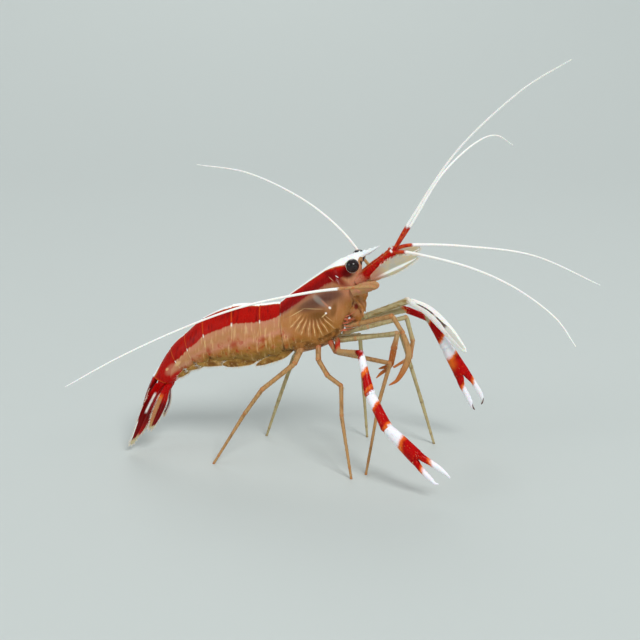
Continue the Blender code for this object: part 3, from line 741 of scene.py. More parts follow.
class Graph:
    """A material under construction: each method adds nodes and gives back what they work out."""

    def __init__(self, name):
        self.material = bpy.data.materials.new(name)
        self.material.use_nodes = True
        self.tree = self.material.node_tree
        self.shader = self.tree.nodes["Principled BSDF"]

    def put(self, value, socket):
        """Link a value to the socket, or set the socket to a number, a vector or a colour's name."""
        if isinstance(value, Value):
            self.tree.links.new(value.socket, socket)
        else:
            socket.default_value = paint(value) if isinstance(value, str) else value

    def node(self, kind, *values, **settings):
        """A new node with these settings, and with its first sockets filled."""
        made = self.tree.nodes.new(kind)
        for name, value in settings.items():
            setattr(made, name, value)
        for value, socket in zip(values, made.inputs):
            self.put(value, socket)
        return made

    def add(self, kind, *values, output=0, **settings):
        """What a new node works out."""
        return Value(self, self.node(kind, *values, **settings).outputs[output])

    def mark(self, name):
        """A number that is kept at the mesh's points."""
        return self.add("ShaderNodeAttribute", attribute_name=name, output="Fac")

    def place(self, stretch=(1.0, 1.0, 1.0), shift=(0.0, 0.0, 0.0), turn=(0.0, 0.0, 0.0)):
        """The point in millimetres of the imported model's frame: shifted, turned, then stretched."""
        point = self.add("ShaderNodeTexCoord", output="Object")
        point = self.add("ShaderNodeVectorMath", point, (1 / MM,) * 3, operation="MULTIPLY")
        point = self.add("ShaderNodeVectorMath", point, shift, operation="SUBTRACT")
        if any(turn):
            turned = self.node("ShaderNodeVectorRotate", point, rotation_type="EULER_XYZ")
            turned.inputs["Rotation"].default_value = turn
            point = Value(self, turned.outputs[0])
        return self.add("ShaderNodeVectorMath", point, stretch, operation="MULTIPLY")

    def noise(self, size, stretch=(1.0, 1.0, 1.0), detail=3.0):
        """Cloudy noise whose lumps are about size millimetres across."""
        made = self.node("ShaderNodeTexNoise", self.place(stretch))
        made.inputs["Scale"].default_value = 1 / size
        made.inputs["Detail"].default_value = detail
        return Value(self, made.outputs[0])

    def mix(self, share, first, second):
        """The first colour, turned into the second by the share."""
        made = self.node("ShaderNodeMix", share, data_type="RGBA")
        self.put(first, made.inputs[6])
        self.put(second, made.inputs[7])
        return Value(self, made.outputs[2])

    def layers(self, body, *rows):
        """A colour with others laid over it in turn; a row is a share and a colour."""
        for share, shade in rows:
            body = self.mix(share, body, shade)
        return body

    def ramp(self, value, *rows, span=1.0):
        """Colours along a value; a row is a colour and the places, up to the span, of its stops."""
        stops = [(place / span, name) for name, *places in rows for place in places]
        made = self.node("ShaderNodeValToRGB", value if span == 1.0 else value / span)
        elements = made.color_ramp.elements
        while len(elements) < len(stops):
            elements.new(1.0)
        for element, (place, name) in zip(elements, stops):
            element.position = place
            element.color = paint(name)
        return Value(self, made.outputs[0])

    def spots(self, body, rows, within=None):
        """A colour with spots over it: upright ovals seen from the side, on both of its sides.

        A row is the centre's x and z, the half width and half height, the lean, the softness of
        the border, the colour and its strength.
        """
        for x, z, wide, high, lean, soft, name, strength in rows:
            centre = tuple(settle((x, MIDDLE[1], z)) / MM)
            point = self.place((1 / wide, 0.0, 1 / high), centre, (0.0, lean, 0.0))
            distance = self.add("ShaderNodeVectorMath", point, operation="LENGTH", output="Value")
            share = distance.ease(1.0 - soft, 1.0 + soft, 1.0, 0.0)
            body = self.mix((share * within if within else share) * strength, body, name)
        return body

    def done(self, shade, roughness, relief=None, depth=0.0, **sockets):
        """Finish the shader: colour, roughness, relief in millimetres, and its plain sockets."""
        if relief is not None:
            bump = self.node("ShaderNodeBump")
            bump.inputs["Distance"].default_value = depth * MM
            self.put(relief, bump.inputs["Height"])
            self.put(Value(self, bump.outputs[0]), self.shader.inputs["Normal"])
        self.put(shade, self.shader.inputs["Base Color"])
        self.put(roughness, self.shader.inputs["Roughness"])
        for name, value in sockets.items():
            self.shader.inputs[name.replace("_", " ")].default_value = value


# ---------------------------------------------------------------- finishes

FLESH = {  # light that sinks into clear shell and the flesh under it
    "Specular_IOR_Level": 0.06,
    "Subsurface_Weight": 0.35,
    "Subsurface_Radius": (1.0, 0.42, 0.26),
    "Subsurface_Scale": 0.4 * MM,
    "Coat_Weight": 0.06,
    "Coat_Roughness": 0.12,
}
CLEAR_BLADE = {**FLESH, "Subsurface_Weight": 0.6, "Coat_Weight": 0.15}
EYE_GLOW = (0.03, 0.012, 0.014, 1.0)
GILL_HUB = (-0.88, 0.0, 29.55)
GILL_RAYS = 32.0  # waves in a full turn round the hub
GILL_PHASE = -3.35

# Spots: x, z, half width, half height, lean, softness, colour, strength.
TAIL_SPOTS = (
    (-26.2, 14.2, 2.0, 0.95, 0.9, 0.4, "claw_red", 0.95),
    (-26.7, 16.0, 1.5, 0.75, 0.75, 0.4, "rose", 0.6),
    (-25.4, 17.2, 0.7, 0.3, 0.75, 0.4, "cream", 0.5),
    (-27.6, 15.9, 0.35, 0.2, 0.75, 0.4, "cream", 0.6),
)
# spots painted on the carapace; the two white ones are painted highlights
CARAPACE_SPOTS_AND_GLINTS = (
    (1.0, 30.2, 3.6, 1.7, 0.35, 0.8, "lilac", 0.85),
    (-1.3, 28.9, 2.4, 0.9, 0.4, 0.45, "plum", 0.55),
    (2.2, 30.7, 2.4, 0.7, 0.2, 0.45, "plum", 0.65),
    (0.3, 27.35, 2.1, 1.0, 0.1, 0.8, "umber", 0.95),
    (3.9, 28.1, 1.4, 1.9, 0.0, 0.8, "tan", 0.5),
    (2.9, 28.3, 0.5, 1.2, -0.2, 0.45, "umber", 0.7),
    (6.4, 32.2, 1.7, 2.0, 0.0, 0.8, "rose", 0.85),
    (0.3, 29.9, 1.3, 0.5, -0.6, 0.45, "haze", 0.35),
    (1.45, 29.35, 1.0, 0.17, -0.7, 0.45, "rose", 0.75),
    # painted highlight: a small white glint
    (2.26, 28.72, 0.24, 0.19, -0.7, 0.45, "white", 0.9),
    (1.3, 27.4, 0.55, 0.1, 0.75, 0.45, "cream", 0.8),
    # painted highlight: a small white glint
    (1.61, 27.76, 0.17, 0.17, 0.0, 0.45, "white", 0.85),
    (2.1, 26.8, 0.75, 0.06, -0.72, 0.45, "cream", 0.5),
    (-3.55, 27.55, 1.35, 0.07, 0.55, 0.45, "cream", 0.6),
    (-0.6, 28.42, 1.8, 0.06, 0.03, 0.45, "cream", 0.45),
    (6.2, 29.1, 0.32, 0.4, 0.0, 0.45, "plum", 0.8),
    (7.1, 28.8, 0.32, 0.6, 0.2, 0.45, "crimson", 0.9),
)
EYE_SHADES = (  # darker red behind and below the eye, with pale glints
    (3.0, 33.6, 2.6, 0.62, -0.5, 0.5, "crimson", 0.8),
    (5.0, 34.35, 0.85, 0.6, 0.0, 0.5, "crimson", 0.95),
    (2.3, 33.5, 0.5, 0.07, -0.6, 0.5, "rose", 0.9),
    (3.3, 33.9, 0.3, 0.07, -0.5, 0.5, "white", 0.8),
)
# painted shade: a dark slit in the eye's colour on the face just in front of the eye
FACE_SLIT_SHADE = ((7.45, 35.85, 0.17, 0.75, 0.45, 0.3, "eye", 0.9),)
MOUTH_SPOTS = (
    (5.7, 28.8, 0.3, 0.34, 0.0, 0.4, "crimson", 0.85),
    (6.6, 28.6, 0.34, 0.5, 0.0, 0.4, "crimson", 0.85),
)

# Bands along a claw leg: a colour and where it begins and ends; 1 is the end of the palm.
CLAW_SPAN = 1.25  # the fingers' bands end here
RIGHT_CLAW_BANDS = (
    ("leg_deep", 0.0), ("claw_red", 0.05), ("leg", 0.08, 0.24), ("crimson", 0.255), ("red", 0.28),
    ("claw_white", 0.298, 0.36), ("orange", 0.372, 0.388), ("claw_red", 0.405, 0.47), ("orange", 0.485),
    ("red", 0.505), ("claw_white", 0.513, 0.582), ("orange", 0.592), ("claw_red", 0.612, 0.715),
    ("orange", 0.733), ("claw_white", 0.75, 0.856), ("orange", 0.872), ("claw_red", 0.897, 1.035),
    ("orange", 1.056), ("claw_white", 1.08),
)
LEFT_CLAW_BANDS = (
    ("far_leg", 0.0, 0.375), ("orange", 0.39), ("claw_red", 0.4, 0.52), ("far_leg", 0.533), ("haze", 0.556),
    ("orange", 0.57), ("claw_red", 0.58, 0.69), ("orange", 0.708), ("claw_white", 0.728, 0.838),
    ("orange", 0.855), ("claw_red", 0.877, 1.04), ("orange", 1.062), ("claw_white", 1.085, 1.207),
    ("plum", 1.218),
)


def striped(graph):
    """White back, ochre line, red band with dark streaks, and the flank below it.

    zone is 0 to 1 on the white, to 2 on the red, to 3 on the flank and to 4 on the belly.
    """
    zone, hem = graph.mark("zone"), graph.mark("hem")
    streaks, clouds = graph.noise(0.45, (1.0, 0.22, 0.16), 4.0), graph.noise(2.2, detail=5.0)
    fine, patches = graph.noise(0.25, detail=2.0), graph.noise(1.1, (1.0, 1.0, 1.3), 4.0)
    smudge = graph.noise(0.9, (1.0, 1.0, 0.7), 4.0).ease(0.54, 0.68) * 0.65
    down = ((zone - 2.0) * 0.5).wobble(clouds, 0.4)
    flank = graph.layers(
        graph.ramp(down, ("rose", 0.0), ("tan", 0.17), ("rose", 0.27), ("amber", 0.4), ("olive", 0.54)),
        (patches.ease(0.5, 0.62) * zone.ease(2.5, 2.9) * 0.5, "umber"),
        (patches.ease(0.45, 0.3) * 0.3, "rose"),
        (smudge * zone.band(2.45, 2.95, 0.15), "red"),
        (streaks.ease(0.54, 0.7) * 0.4, "cream"),
    )
    shade = streaks.ease(0.48, 0.66) * clouds.ease(0.35, 0.6) * 0.75
    red = graph.layers("red", (shade, "crimson"), (streaks.ease(0.42, 0.3) * 0.35, "claw_red"))
    body = graph.layers(
        red,
        (zone.wobble(streaks, 0.16).ease(1.96, 2.03), flank),
        (hem * zone.band(1.1, 1.9, 0.1) * 0.4, "orange"),
        (hem * zone.band(2.05, 2.8, 0.1) * 0.35, "cream"),
        (hem * zone.band(1.94, 2.06, 0.04), "white"),
    )
    back = zone.wobble(fine, 0.1)
    body = graph.mix(back.ease(0.88, 0.98), "white", graph.mix(back.ease(1.02, 1.1), "ochre", body))
    return zone, body, (streaks + fine) * zone.ease(0.6, 1.3, 0.15, 1.0)


def plate_finish(graph):
    """The shell plates of the tail."""
    zone, body, relief = striped(graph)
    border = graph.mark("border").wobble(graph.noise(0.7), 0.9).ease(0.35, 0.8)
    body = graph.mix(border * zone.band(2.52, 2.74, 0.14) * 0.75, body, "rust_red")
    body = graph.spots(body, TAIL_SPOTS, zone.ease(1.2, 1.3))
    graph.done(body, relief.ease(0.6, 1.4, 0.22, 0.4), relief, 0.03, **FLESH)


def carapace_finish(graph):
    """The carapace: stripes, clear shell over the stomach, small white glints painted as highlights, and the
    fan of gills under the flank.

    The gills are rays round a hub, from the cosine of the angle, between two distances from it.
    """
    zone, body, relief = striped(graph)
    below = zone.ease(1.98, 2.12)
    warp, breaks = graph.noise(1.6, detail=1.0), graph.noise(0.7, detail=2.0)
    point = graph.node("ShaderNodeSeparateXYZ", graph.place(shift=tuple(settle(GILL_HUB) / MM)))
    x, z = (Value(graph, point.outputs[axis]) for axis in "XZ")
    reach = (x * x + z * z).math("SQRT")
    angle = (z * -1.0).math("ARCTAN2", x)
    wave = (angle.wobble(warp, 0.1) * GILL_RAYS + GILL_PHASE).math("COSINE")
    fan = angle.band(0.78, 2.3, 0.1) * below
    rays = wave.ease(0.66, 1.0) * reach.band(3.3, 5.9, 0.5) * fan * breaks.ease(0.3, 0.6, 0.35, 1.0)
    gaps = wave.ease(-0.2, -0.9) * reach.band(2.6, 5.6, 0.7) * fan
    gills = reach.ease(6.4, 8.0, 1.0, 0.0) * below
    shade = zone.wobble(warp, 0.5).ease(1.2, 1.7) * below.rest() * 0.75
    body = graph.layers(body, (gills * 0.65, "amber"), (shade, "crimson"))
    body = graph.spots(body, CARAPACE_SPOTS_AND_GLINTS, below)
    body = graph.layers(body, (gaps * 0.6, "umber"), (rays * 0.8, "cream"))
    body = graph.spots(body, EYE_SHADES, zone.ease(1.1, 1.2))
    relief = relief + rays * 1.2
    graph.done(body, relief.ease(0.6, 1.4, 0.2, 0.38), relief, 0.03, **FLESH)


def flesh_finish(graph):
    """The soft body under the plates, with the warmer face in front of the shell, and a dark slit of painted
    shade on the face before the eye.
    """
    clouds, fine = graph.noise(1.2, detail=4.0), graph.noise(0.3)
    glints = fine.ease(0.55, 0.7)
    body = graph.layers("amber", (clouds.ease(0.35, 0.65), "umber"), (glints * 0.4, "cream"))
    face = graph.layers("rose", (clouds.ease(0.4, 0.65), "leg"), (glints * 0.35, "rust"))
    body = graph.mix(graph.mark("face"), body, graph.spots(face, FACE_SLIT_SHADE))
    graph.done(body, 0.35, clouds + fine, 0.04, **FLESH)


def leg_finish(graph, base, deep, joint, root, low=1.2, high=1.3, end="leg"):
    """A limb with rings at its joints, darker streaks, painted shade along its side edges, and a coloured
    root and end.
    """
    streaks, fine = graph.noise(0.5, (1.0, 1.0, 0.3), 4.0), graph.noise(0.16)
    along = graph.mark("along").wobble(streaks, 0.06)
    body = graph.layers(
        base,
        (streaks.ease(0.45, 0.7) * 0.7, deep),
        # painted shade: the limb is darker along both of its side edges, where it is seen edge-on
        (abs(graph.mark("across").wobble(streaks, 0.5)).ease(0.6, 0.95) * 0.6, deep),
        (along.ease(0.02, 0.07, 1.0, 0.0) * 0.55, root),
        (along.ease(low, high) * 0.9, end),
        (graph.mark("joint").wobble(fine, 0.3).ease(0.55, 1.0) * 0.38, joint),
    )
    graph.done(body, fine.ease(0.3, 0.7, 0.22, 0.4), fine, 0.02, **FLESH)


def white_blade_finish(graph):
    """The broad white jaw leg: white rims, and a clear grey middle with dark slits."""
    along, across, fine = graph.mark("along"), graph.mark("across"), graph.noise(0.3)
    centre = abs(across.wobble(fine, 0.12) - 0.18) / along.ease(0.7, 0.8, 0.13, 0.4)
    middle = centre.ease(0.9, 1.2, 1.0, 0.0) * along.band(0.5, 0.97, 0.02)
    slit = along.band(0.49, 0.635, 0.015) + along.band(0.66, 0.76, 0.015)
    blade = graph.layers("white", (middle * 0.6, "haze"), (middle * slit * 0.9, "plum"))
    root = graph.mix(graph.noise(0.5, (0.3, 1.0, 1.0)).ease(0.4, 0.65), "far_leg", "far_leg_deep")
    graph.done(graph.mix(along.wobble(fine, 0.03).ease(0.41, 0.45), root, blade), 0.3, fine, 0.03, **FLESH)


def claw_finish(graph, bands, low, full, fading, gone, strength):
    """A claw leg's bands, with an orange wedge of the given strength along one side of its palm.

    The wedge comes in from low to full and goes out from fading to gone, all places in the bands.
    """
    fine, streaks = graph.noise(0.35, detail=4.0), graph.noise(0.6, (1.0, 1.0, 0.5))
    across = graph.mark("across")
    along = graph.mark("along").wobble(fine, 0.03) + across * 0.018
    body = graph.ramp(along, *bands, span=CLAW_SPAN)
    parts = graph.node("ShaderNodeSeparateColor", body)
    redness = (Value(graph, parts.outputs[0]) - Value(graph, parts.outputs[1])).ease(0.3, 0.45)
    wedge = along.ease(low, full) * along.ease(fading, gone, 1.0, 0.0) * strength
    body = graph.layers(
        body,
        (redness * graph.noise(0.28, detail=2.0).ease(0.62, 0.74) * 0.35, "orange"),
        (streaks.ease(0.5, 0.7) * 0.45 * redness, "crimson"),
        (wedge * across.ease(0.6, -0.8), "orange"),
        (redness.rest() * streaks.ease(0.52, 0.7) * 0.12, "haze"),
    )
    graph.done(body, fine.ease(0.3, 0.7, 0.2, 0.36), fine, 0.04, **{**FLESH, "Subsurface_Weight": 0.2})


def feeler_finish(graph):
    """White feelers with coloured roots and fine rings."""
    fine = graph.noise(0.4)
    warm = graph.mix(graph.noise(0.6).ease(0.42, 0.62) * 0.4, "red", "orange")
    stain = graph.mix(graph.mark("warmth").wobble(fine, 0.5).ease(0.4, 0.7), "leg", warm)
    white = graph.mix(fine.ease(0.45, 0.8) * 0.12, "white", "lilac")
    body = graph.mix(graph.mark("root").wobble(fine, 0.4).ease(0.35, 0.65), white, stain)
    rings = (graph.mark("along") * 900.0).math("SINE")
    sunk = {"Subsurface_Weight": 0.2, "Subsurface_Scale": 0.3 * MM}
    graph.done(body, 0.35, rings, 0.015, Specular_IOR_Level=0.15, **sunk)


def fan_finish(graph, outer, inner, tip, streak, rim, border=-0.02):
    """A blade of the tail fan: the colours of its outer and inner halves, clear tip, streak and rim.

    streak is where a white line runs beside the rib; rim is (side, first, last, colour); border is
    where across the blade the two colours meet.
    """
    along, across, grain = graph.mark("along"), graph.mark("across"), graph.noise(0.35, detail=4.0)
    place = along.wobble(grain, 0.08)
    half = across.wobble(grain, 0.25).ease(border - 0.1, border + 0.1)
    side, first, last, shade = rim
    reach = across * side if side else abs(across)
    body = graph.layers(
        graph.ramp(place, *inner),
        (half, graph.ramp(place, *outer)),
        (grain.ease(0.5, 0.7) * 0.35, "crimson"),
        (across.wobble(grain, 0.1).band(0.08, 0.4, 0.08) * along.band(*streak, 0.03), "white"),
        (reach.wobble(grain, 0.1).ease(0.82, 0.95) * along.band(first, last, 0.04), shade),
        ((place + across * -0.04).ease(tip, tip + 0.06), "clear"),
    )
    graph.done(body, 0.3, grain + (across * 28.0).math("SINE") * 0.15, 0.03, **FLESH)


def stem_finish(graph):
    """Red antennule stems with orange margins and a pale patch near the end."""
    along, across, grain = graph.mark("along"), graph.mark("across"), graph.noise(0.4, detail=4.0)
    body = graph.layers(
        "claw_red",
        (grain.ease(0.45, 0.65), "red"),
        (abs(across.wobble(grain, 0.3)).ease(0.72, 0.98) * 0.3, "orange"),
        (grain.ease(0.52, 0.68) * 0.6, "crimson"),
        (along.wobble(grain, 0.2).ease(0.1, 0.28, 1.0, 0.0) * 0.85, "rose"),
        (along.band(0.93, 0.97, 0.012) * across.ease(0.1, 0.4), "white"),
    )
    graph.done(body, 0.28, grain, 0.03, **FLESH)


def scale_finish(graph):
    """The clear antennal scale with its white outer rib and a rosy root."""
    along, across, grain = graph.mark("along"), graph.mark("across"), graph.noise(0.35)
    body = graph.layers(
        "haze",
        (graph.noise(1.2).ease(0.35, 0.7), "clear"),
        (across.band(0.25, 0.62, 0.08) * along.ease(0.05, 0.2), "white"),
        (along.ease(0.1, 0.4, 1.0, 0.0) * 0.85, "rose"),
    )
    relief = grain + (across * 36.0).math("SINE") * 0.12
    graph.done(body, 0.3, relief, 0.03, **CLEAR_BLADE, Alpha=0.74)


def head_finish(graph, first, second, third, rim=1.5, spots=()):
    """Mottled colours of the small pieces of the head, pale past the share of the length at rim."""
    grain = graph.noise(0.3)
    body = graph.mix(graph.noise(0.9).ease(0.4, 0.65), first, second)
    body = graph.mix(grain.ease(0.6, 0.75) * 0.7, body, third)
    body = graph.mix(graph.mark("along").ease(rim, rim + 0.02), graph.spots(body, spots), "haze")
    graph.done(body, 0.32, grain, 0.03, **FLESH)


def eye_finish(graph):
    """A glossy dark eye with fine facets."""
    facets = graph.node("ShaderNodeTexVoronoi", graph.place())
    facets.inputs["Scale"].default_value = 9.0
    body = graph.mix(graph.noise(0.8).ease(0.35, 0.8), "eye", EYE_GLOW)
    gloss = {"Coat_Weight": 0.35, "Coat_Roughness": 0.03, "Specular_IOR_Level": 0.2}
    graph.done(body, 0.2, Value(graph, facets.outputs["Distance"]), 0.006, **gloss)


def swimmeret_finish(graph):
    """Folded swimmerets: mottled amber leaves with pale rims."""
    grain = graph.noise(0.5)
    rim = abs(graph.mark("across").wobble(grain, 0.2)).ease(0.8, 0.98)
    body = graph.layers(
        "umber",
        (graph.noise(1.3).ease(0.35, 0.65), "olive"),
        (grain.ease(0.5, 0.7) * 0.3, "cream"),
        (rim * 0.6, "cream"),
    )
    graph.done(body, 0.35, grain, 0.03, **FLESH)


def hair_finish(graph, first, second):
    """Hairs of two mingled colours."""
    grain = graph.noise(0.7)
    graph.done(graph.mix(grain, first, second), 0.4, grain, 0.02, **CLEAR_BLADE)


TELSON_REDS = (("claw_red", 0.0), ("crimson", 0.2, 0.85), ("red", 1.0))
NO_STREAK = (2.0, 2.1)
FINISHES = {  # how each is made, the material's name, and what its function is given
    "plate": (plate_finish, "tail_plate_shell"),
    "carapace": (carapace_finish, "carapace_shell"),
    "soft": (flesh_finish, "soft_body"),
    "leg": (leg_finish, "walking_leg", "leg", "leg_deep", "joint", "claw_red"),
    "far_leg": (leg_finish, "pale_leg", "far_leg", "far_leg_deep", "leg_deep", "leg", 1.2, 1.3, "far_leg"),
    "small_claw": (leg_finish, "small_claw", "far_leg", "far_leg_deep", "joint", "leg", 0.6, 0.86, "rust"),
    "jaw": (leg_finish, "jaw_leg", "leg", "leg_deep", "joint", "far_leg", 0.72, 0.95, "rust"),
    "white_blade": (white_blade_finish, "white_blade"),
    "claw_right": (claw_finish, "right_claw_leg", RIGHT_CLAW_BANDS, 0.845, 0.87, 0.885, 0.915, 0.7),
    "claw_left": (claw_finish, "left_claw_leg", LEFT_CLAW_BANDS, 0.815, 0.86, 0.885, 0.94, 0.85),
    "feeler": (feeler_finish, "feeler"),
    "telson": (
        fan_finish, "telson_shell", TELSON_REDS, TELSON_REDS, 0.97, NO_STREAK, (0, 0.3, 0.97, "red")
    ),
    "uropod_inner": (
        fan_finish, "inner_blade_shell",
        (("claw_red", 0.0, 0.12), ("crimson", 0.3, 0.85)),
        (("claw_red", 0.0, 0.3), ("crimson", 0.5), ("red", 0.8), ("clear", 0.86)),
        0.86, (0.16, 0.47), (1, 0.62, 0.97, "white")
    ),
    "uropod_outer": (
        fan_finish, "outer_blade_shell",
        (("claw_red", 0.0, 0.2), ("orange", 0.28), ("tan", 0.36, 0.8), ("leg", 0.9)),
        (("claw_red", 0.0), ("red", 0.3), ("crimson", 0.42, 0.86)),
        0.9, NO_STREAK, (-1, 0.08, 1.0, "white"), 0.3
    ),
    "stem": (stem_finish, "antennule_stem"),
    "scale": (scale_finish, "antennal_scale"),
    "stalk": (head_finish, "eyestalk", "joint", "rose", "rust", 0.96),
    "antenna_root": (head_finish, "antenna_root", "leg", "rose", "rose"),
    "mouth": (head_finish, "mouthparts", "tan", "amber", "olive", 1.5, MOUTH_SPOTS),
    "eye": (eye_finish, "eye"),
    "swimmeret": (swimmeret_finish, "swimmeret"),
    "pale_hair": (hair_finish, "pale_hair", "white", "cream"),
    "tan_hair": (hair_finish, "tan_hair", "leg", "cream"),
    "tuft_hair": (hair_finish, "tuft_hair", "coral", "rose"),
    "red_hair": (hair_finish, "red_hair", "crimson", "orange"),
}


def finish(name):
    """The material of a finish, made the first time it is asked for."""
    key = f"finish_{name}"
    if key not in bpy.context.scene:
        work, title, *given = FINISHES[name]
        graph = Graph(title)
        work(graph, *given)
        bpy.context.scene[key] = graph.material.name
    return bpy.data.materials[bpy.context.scene[key]]


# ---------------------------------------------------------------- body and head


def carapace_patches():
    """The shell of head and thorax: an outer and an inner body surface, open below, and its teeth.

    Its height is a sum of beads and grooves, each one a bell across its own line.
    """
    end = len(CARAPACE) - 1
    places = np.concatenate((np.linspace(0, ROSTRUM, 190), np.linspace(ROSTRUM + 0.03, end, 60)))
    window = np.hanning(15) / np.hanning(15).sum()
    edge = np.interp(places, *zip(*CARAPACE_EDGE))
    edge = column(np.convolve(np.pad(edge, 7, mode="edge"), window, "valid"))
    turns = np.pi * edge * np.linspace(-1, 1, 181)
    places = column(places)
    down = np.abs(turns) / np.pi
    margin = (edge - down) * 4.5
    groove = ease(down, 0.12, 0.2) * (1 - ease(down, 0.5, 0.62))
    height = (
        0.07 * bell(places, 0.1, 0.06)  # a bead along the rear edge
        + 0.05 * bell(margin, 0.16, 0.12) * (1 - ease(places, ROSTRUM, 7.1))  # and the lower edge
        - 0.12 * bell(places - 2.6 * down, 3.4, 0.11) * groove  # down and forwards, behind the stomach
        - 0.06 * bell(down - 0.02 * places, 0.36, 0.02) * (1 - ease(places, 3.0, 3.6))  # above the gills
        + 0.1 * bell(down, 0, 0.03) * ease(places, 3.6, 4.8) * (1 - ease(places, 6.6, 7.2))  # a keel
    )
    thickness = SHELL * (1 - 0.6 * ease(places, 6.6, 7.2))
    outer = body_surface(CARAPACE, places, turns, height=height)
    inner = body_surface(CARAPACE, places, turns, height=height - thickness)
    for centre in EYES.values():
        outer = dented(outer, centre, EYE_RADIUS + ORBIT_ROOM)
        inner = dented(inner, centre, EYE_RADIUS + ORBIT_ROOM + SHELL)
    hem = np.maximum(1 - ease(places, 0.03, 0.1), 1 - ease(margin, 0.03, 0.12))
    hem = hem * (1 - ease(places, 6.0, 6.5))
    patches = [plate(outer, inner, zone=body_zone(CARAPACE_BANDS, places, turns), hem=hem)]
    for place, rise, way in TEETH:
        columns = (0, 1) if way > 0 else (2, 3)
        here, ahead = spline(CARAPACE, [place, place + 0.05])[:, columns] @ np.array((FORWARDS, UPWARDS))
        tip = here + unit(ahead - here) * rise * 1.3 + way * rise * UPWARDS
        patches.append(cone(here - way * 0.1 * UPWARDS, tip, 0.26, 0.5, zone=0.4))
    for side in SIDE_NAMES:  # the spine below each eye
        root = body_surface(CARAPACE, np.array([[6.02]]), np.array([[side * 0.55 * np.pi]]), 0.98)[0, 0]
        patches.append(cone(root, root + (0.75, side * 0.25, 0.1), 0.16, zone=2.4))
    return patches


def tail_plate(ring):
    """One plate of the tail: an outer and an inner body surface that end in a rounded lobe below.

    Along the plate, u runs from 0 to 1; its lower edge is at low - (low - high) |2u - 1| cubed of
    the half turn. It tucks under the plate before it and lies over the one behind it.
    """
    u = column(np.linspace(0, 1, 52))
    v = np.linspace(-1, 1, 145)
    low, high = LOBES[ring - 1]
    edge = low - (low - high) * np.abs(2 * u - 1) ** 3
    turns = np.pi * edge * v
    down = np.abs(edge * v)
    lobe = ease(down, 0.42, 0.7) * (ring == WIDE_LOBE)
    front = -0.04 - 0.2 * lobe
    rear = (1.0 if ring == RINGS else 1.07) + 0.13 * lobe
    share = front + (rear - front) * u
    places = ring - 1 + share
    size = 0.965 + 0.033 * ease(u, 0.02, 0.25) + 0.022 * lobe
    height = (
        0.05 * bell(u, 0.975, 0.02)  # a bead along the rear edge
        - 0.05 * bell(u, 0.24, 0.03) * (1 - lobe)  # a groove where the plate in front ends
        + 0.04 * bell(np.abs(v), 0.985, 0.012)  # a bead along the lower edge
        + 0.07 * bell(down, 0.69, 0.02) * bell(u, 0.93, 0.05)  # the hinge with the next plate
    )
    drop = LOBE_DROP * np.sin(np.pi * np.clip(share, 0, 1))
    outer = body_surface(ABDOMEN, places, turns, size, height, drop)
    inner = body_surface(ABDOMEN, places, turns, size, height - length("plate_thickness"), drop)
    zone = body_zone(ABDOMEN_BANDS, np.clip(places, 0, RINGS), turns)
    hem = np.maximum(ease(u, 0.945, 0.985), ease(np.abs(v), 0.965, 0.99))
    return plate(outer, inner, zone=zone, hem=hem, border=bell(u, 0.95, 0.16))


def soft_body():
    """The flesh inside the shell, as one skin from the face to the root of the tail fan.

    It is the body surface at 0.93 of its size, with a waist at each border between two rings.
    """
    turns = circle(120) - np.pi
    places = column(np.linspace(7.25, 0.02, 120))
    size = 0.93 - 0.5 * ease(places, ROSTRUM, 7.25)
    drop = ease(places, 0.0, 0.8) * (1 - ease(places, 3.6, 4.8))
    head = body_surface(CARAPACE, places, turns, size, 0.0, drop)
    for centre in EYES.values():
        head = dented(head, centre, EYE_RADIUS + ORBIT_ROOM + 1.5 * SHELL)
    rings = column(np.linspace(0.02, RINGS - 0.02, 180))
    local = rings - np.floor(rings)
    belly = ease(np.abs(turns) / np.pi, 0.7, 0.9)
    size = 0.925 - 0.03 * belly * (1 - np.sin(np.pi * local)) + 0.02 * belly * bell(local, 0.5, 0.12)
    tail = body_surface(ABDOMEN, rings, turns, size, 0.0, 0.8 * LOBE_DROP * np.sin(np.pi * local))
    return tube(np.concatenate((head, tail)), face=np.concatenate((ease(places, 5.4, 6.0), 0 * rings)))


LEAF_STEPS, LEAF_CLOSING = rounded(40, 0.0, 0.12)  # shares of a leaf's length, closed at its tip


def swimmeret_leaves():
    """For each of two leaves on every swimmeret: its smooth path and its half widths."""
    for ring in range(1, PLEOPOD_RINGS + 1):
        along = np.array(ABDOMEN[ring])[2:4] - np.array(ABDOMEN[ring - 1])[2:4]
        belly = np.array((along[0], 0.0, along[1]))
        away = np.array((-along[1], 0.0, along[0]))
        middle = spline(ABDOMEN, [ring - 0.5])[0]
        back, down = PLEOPOD_PATH.T
        if ring == 1:
            back = back - FIRST_PLEOPOD_REACH * np.linspace(1, 0, len(back)) ** 2
        for side in SIDE_NAMES:
            root = np.array((middle[2], side * middle[4] * 0.55, middle[3] - LOBE_DROP))
            for lean, reach in ((0.22, 1.0), (-0.22, 0.88)):
                spread = side * lean * column(np.linspace(0.3, 1.6, len(back)))
                points = root + reach * (column(back) * belly + column(down) * away) + spread * SIDEWAYS
                widths = 0.92 * reach * np.linalg.norm(belly) * smooth_values(PLEOPOD_WIDTHS, LEAF_STEPS)
                yield smooth_path(points, LEAF_STEPS), widths * LEAF_CLOSING


def swimmeret_patches():
    """A thin oval carried along each leaf's path."""
    thick = 0.13 * LEAF_CLOSING
    return [oval(path, widths, thick, 22, LEAF_STEPS) for path, widths in swimmeret_leaves()]


def fan_point(along, under, out):
    """A point of the tail fan from its place in the fan's own axes."""
    return FAN_ROOT + along * FAN_ALONG + under * FAN_UNDER + out * SIDEWAYS


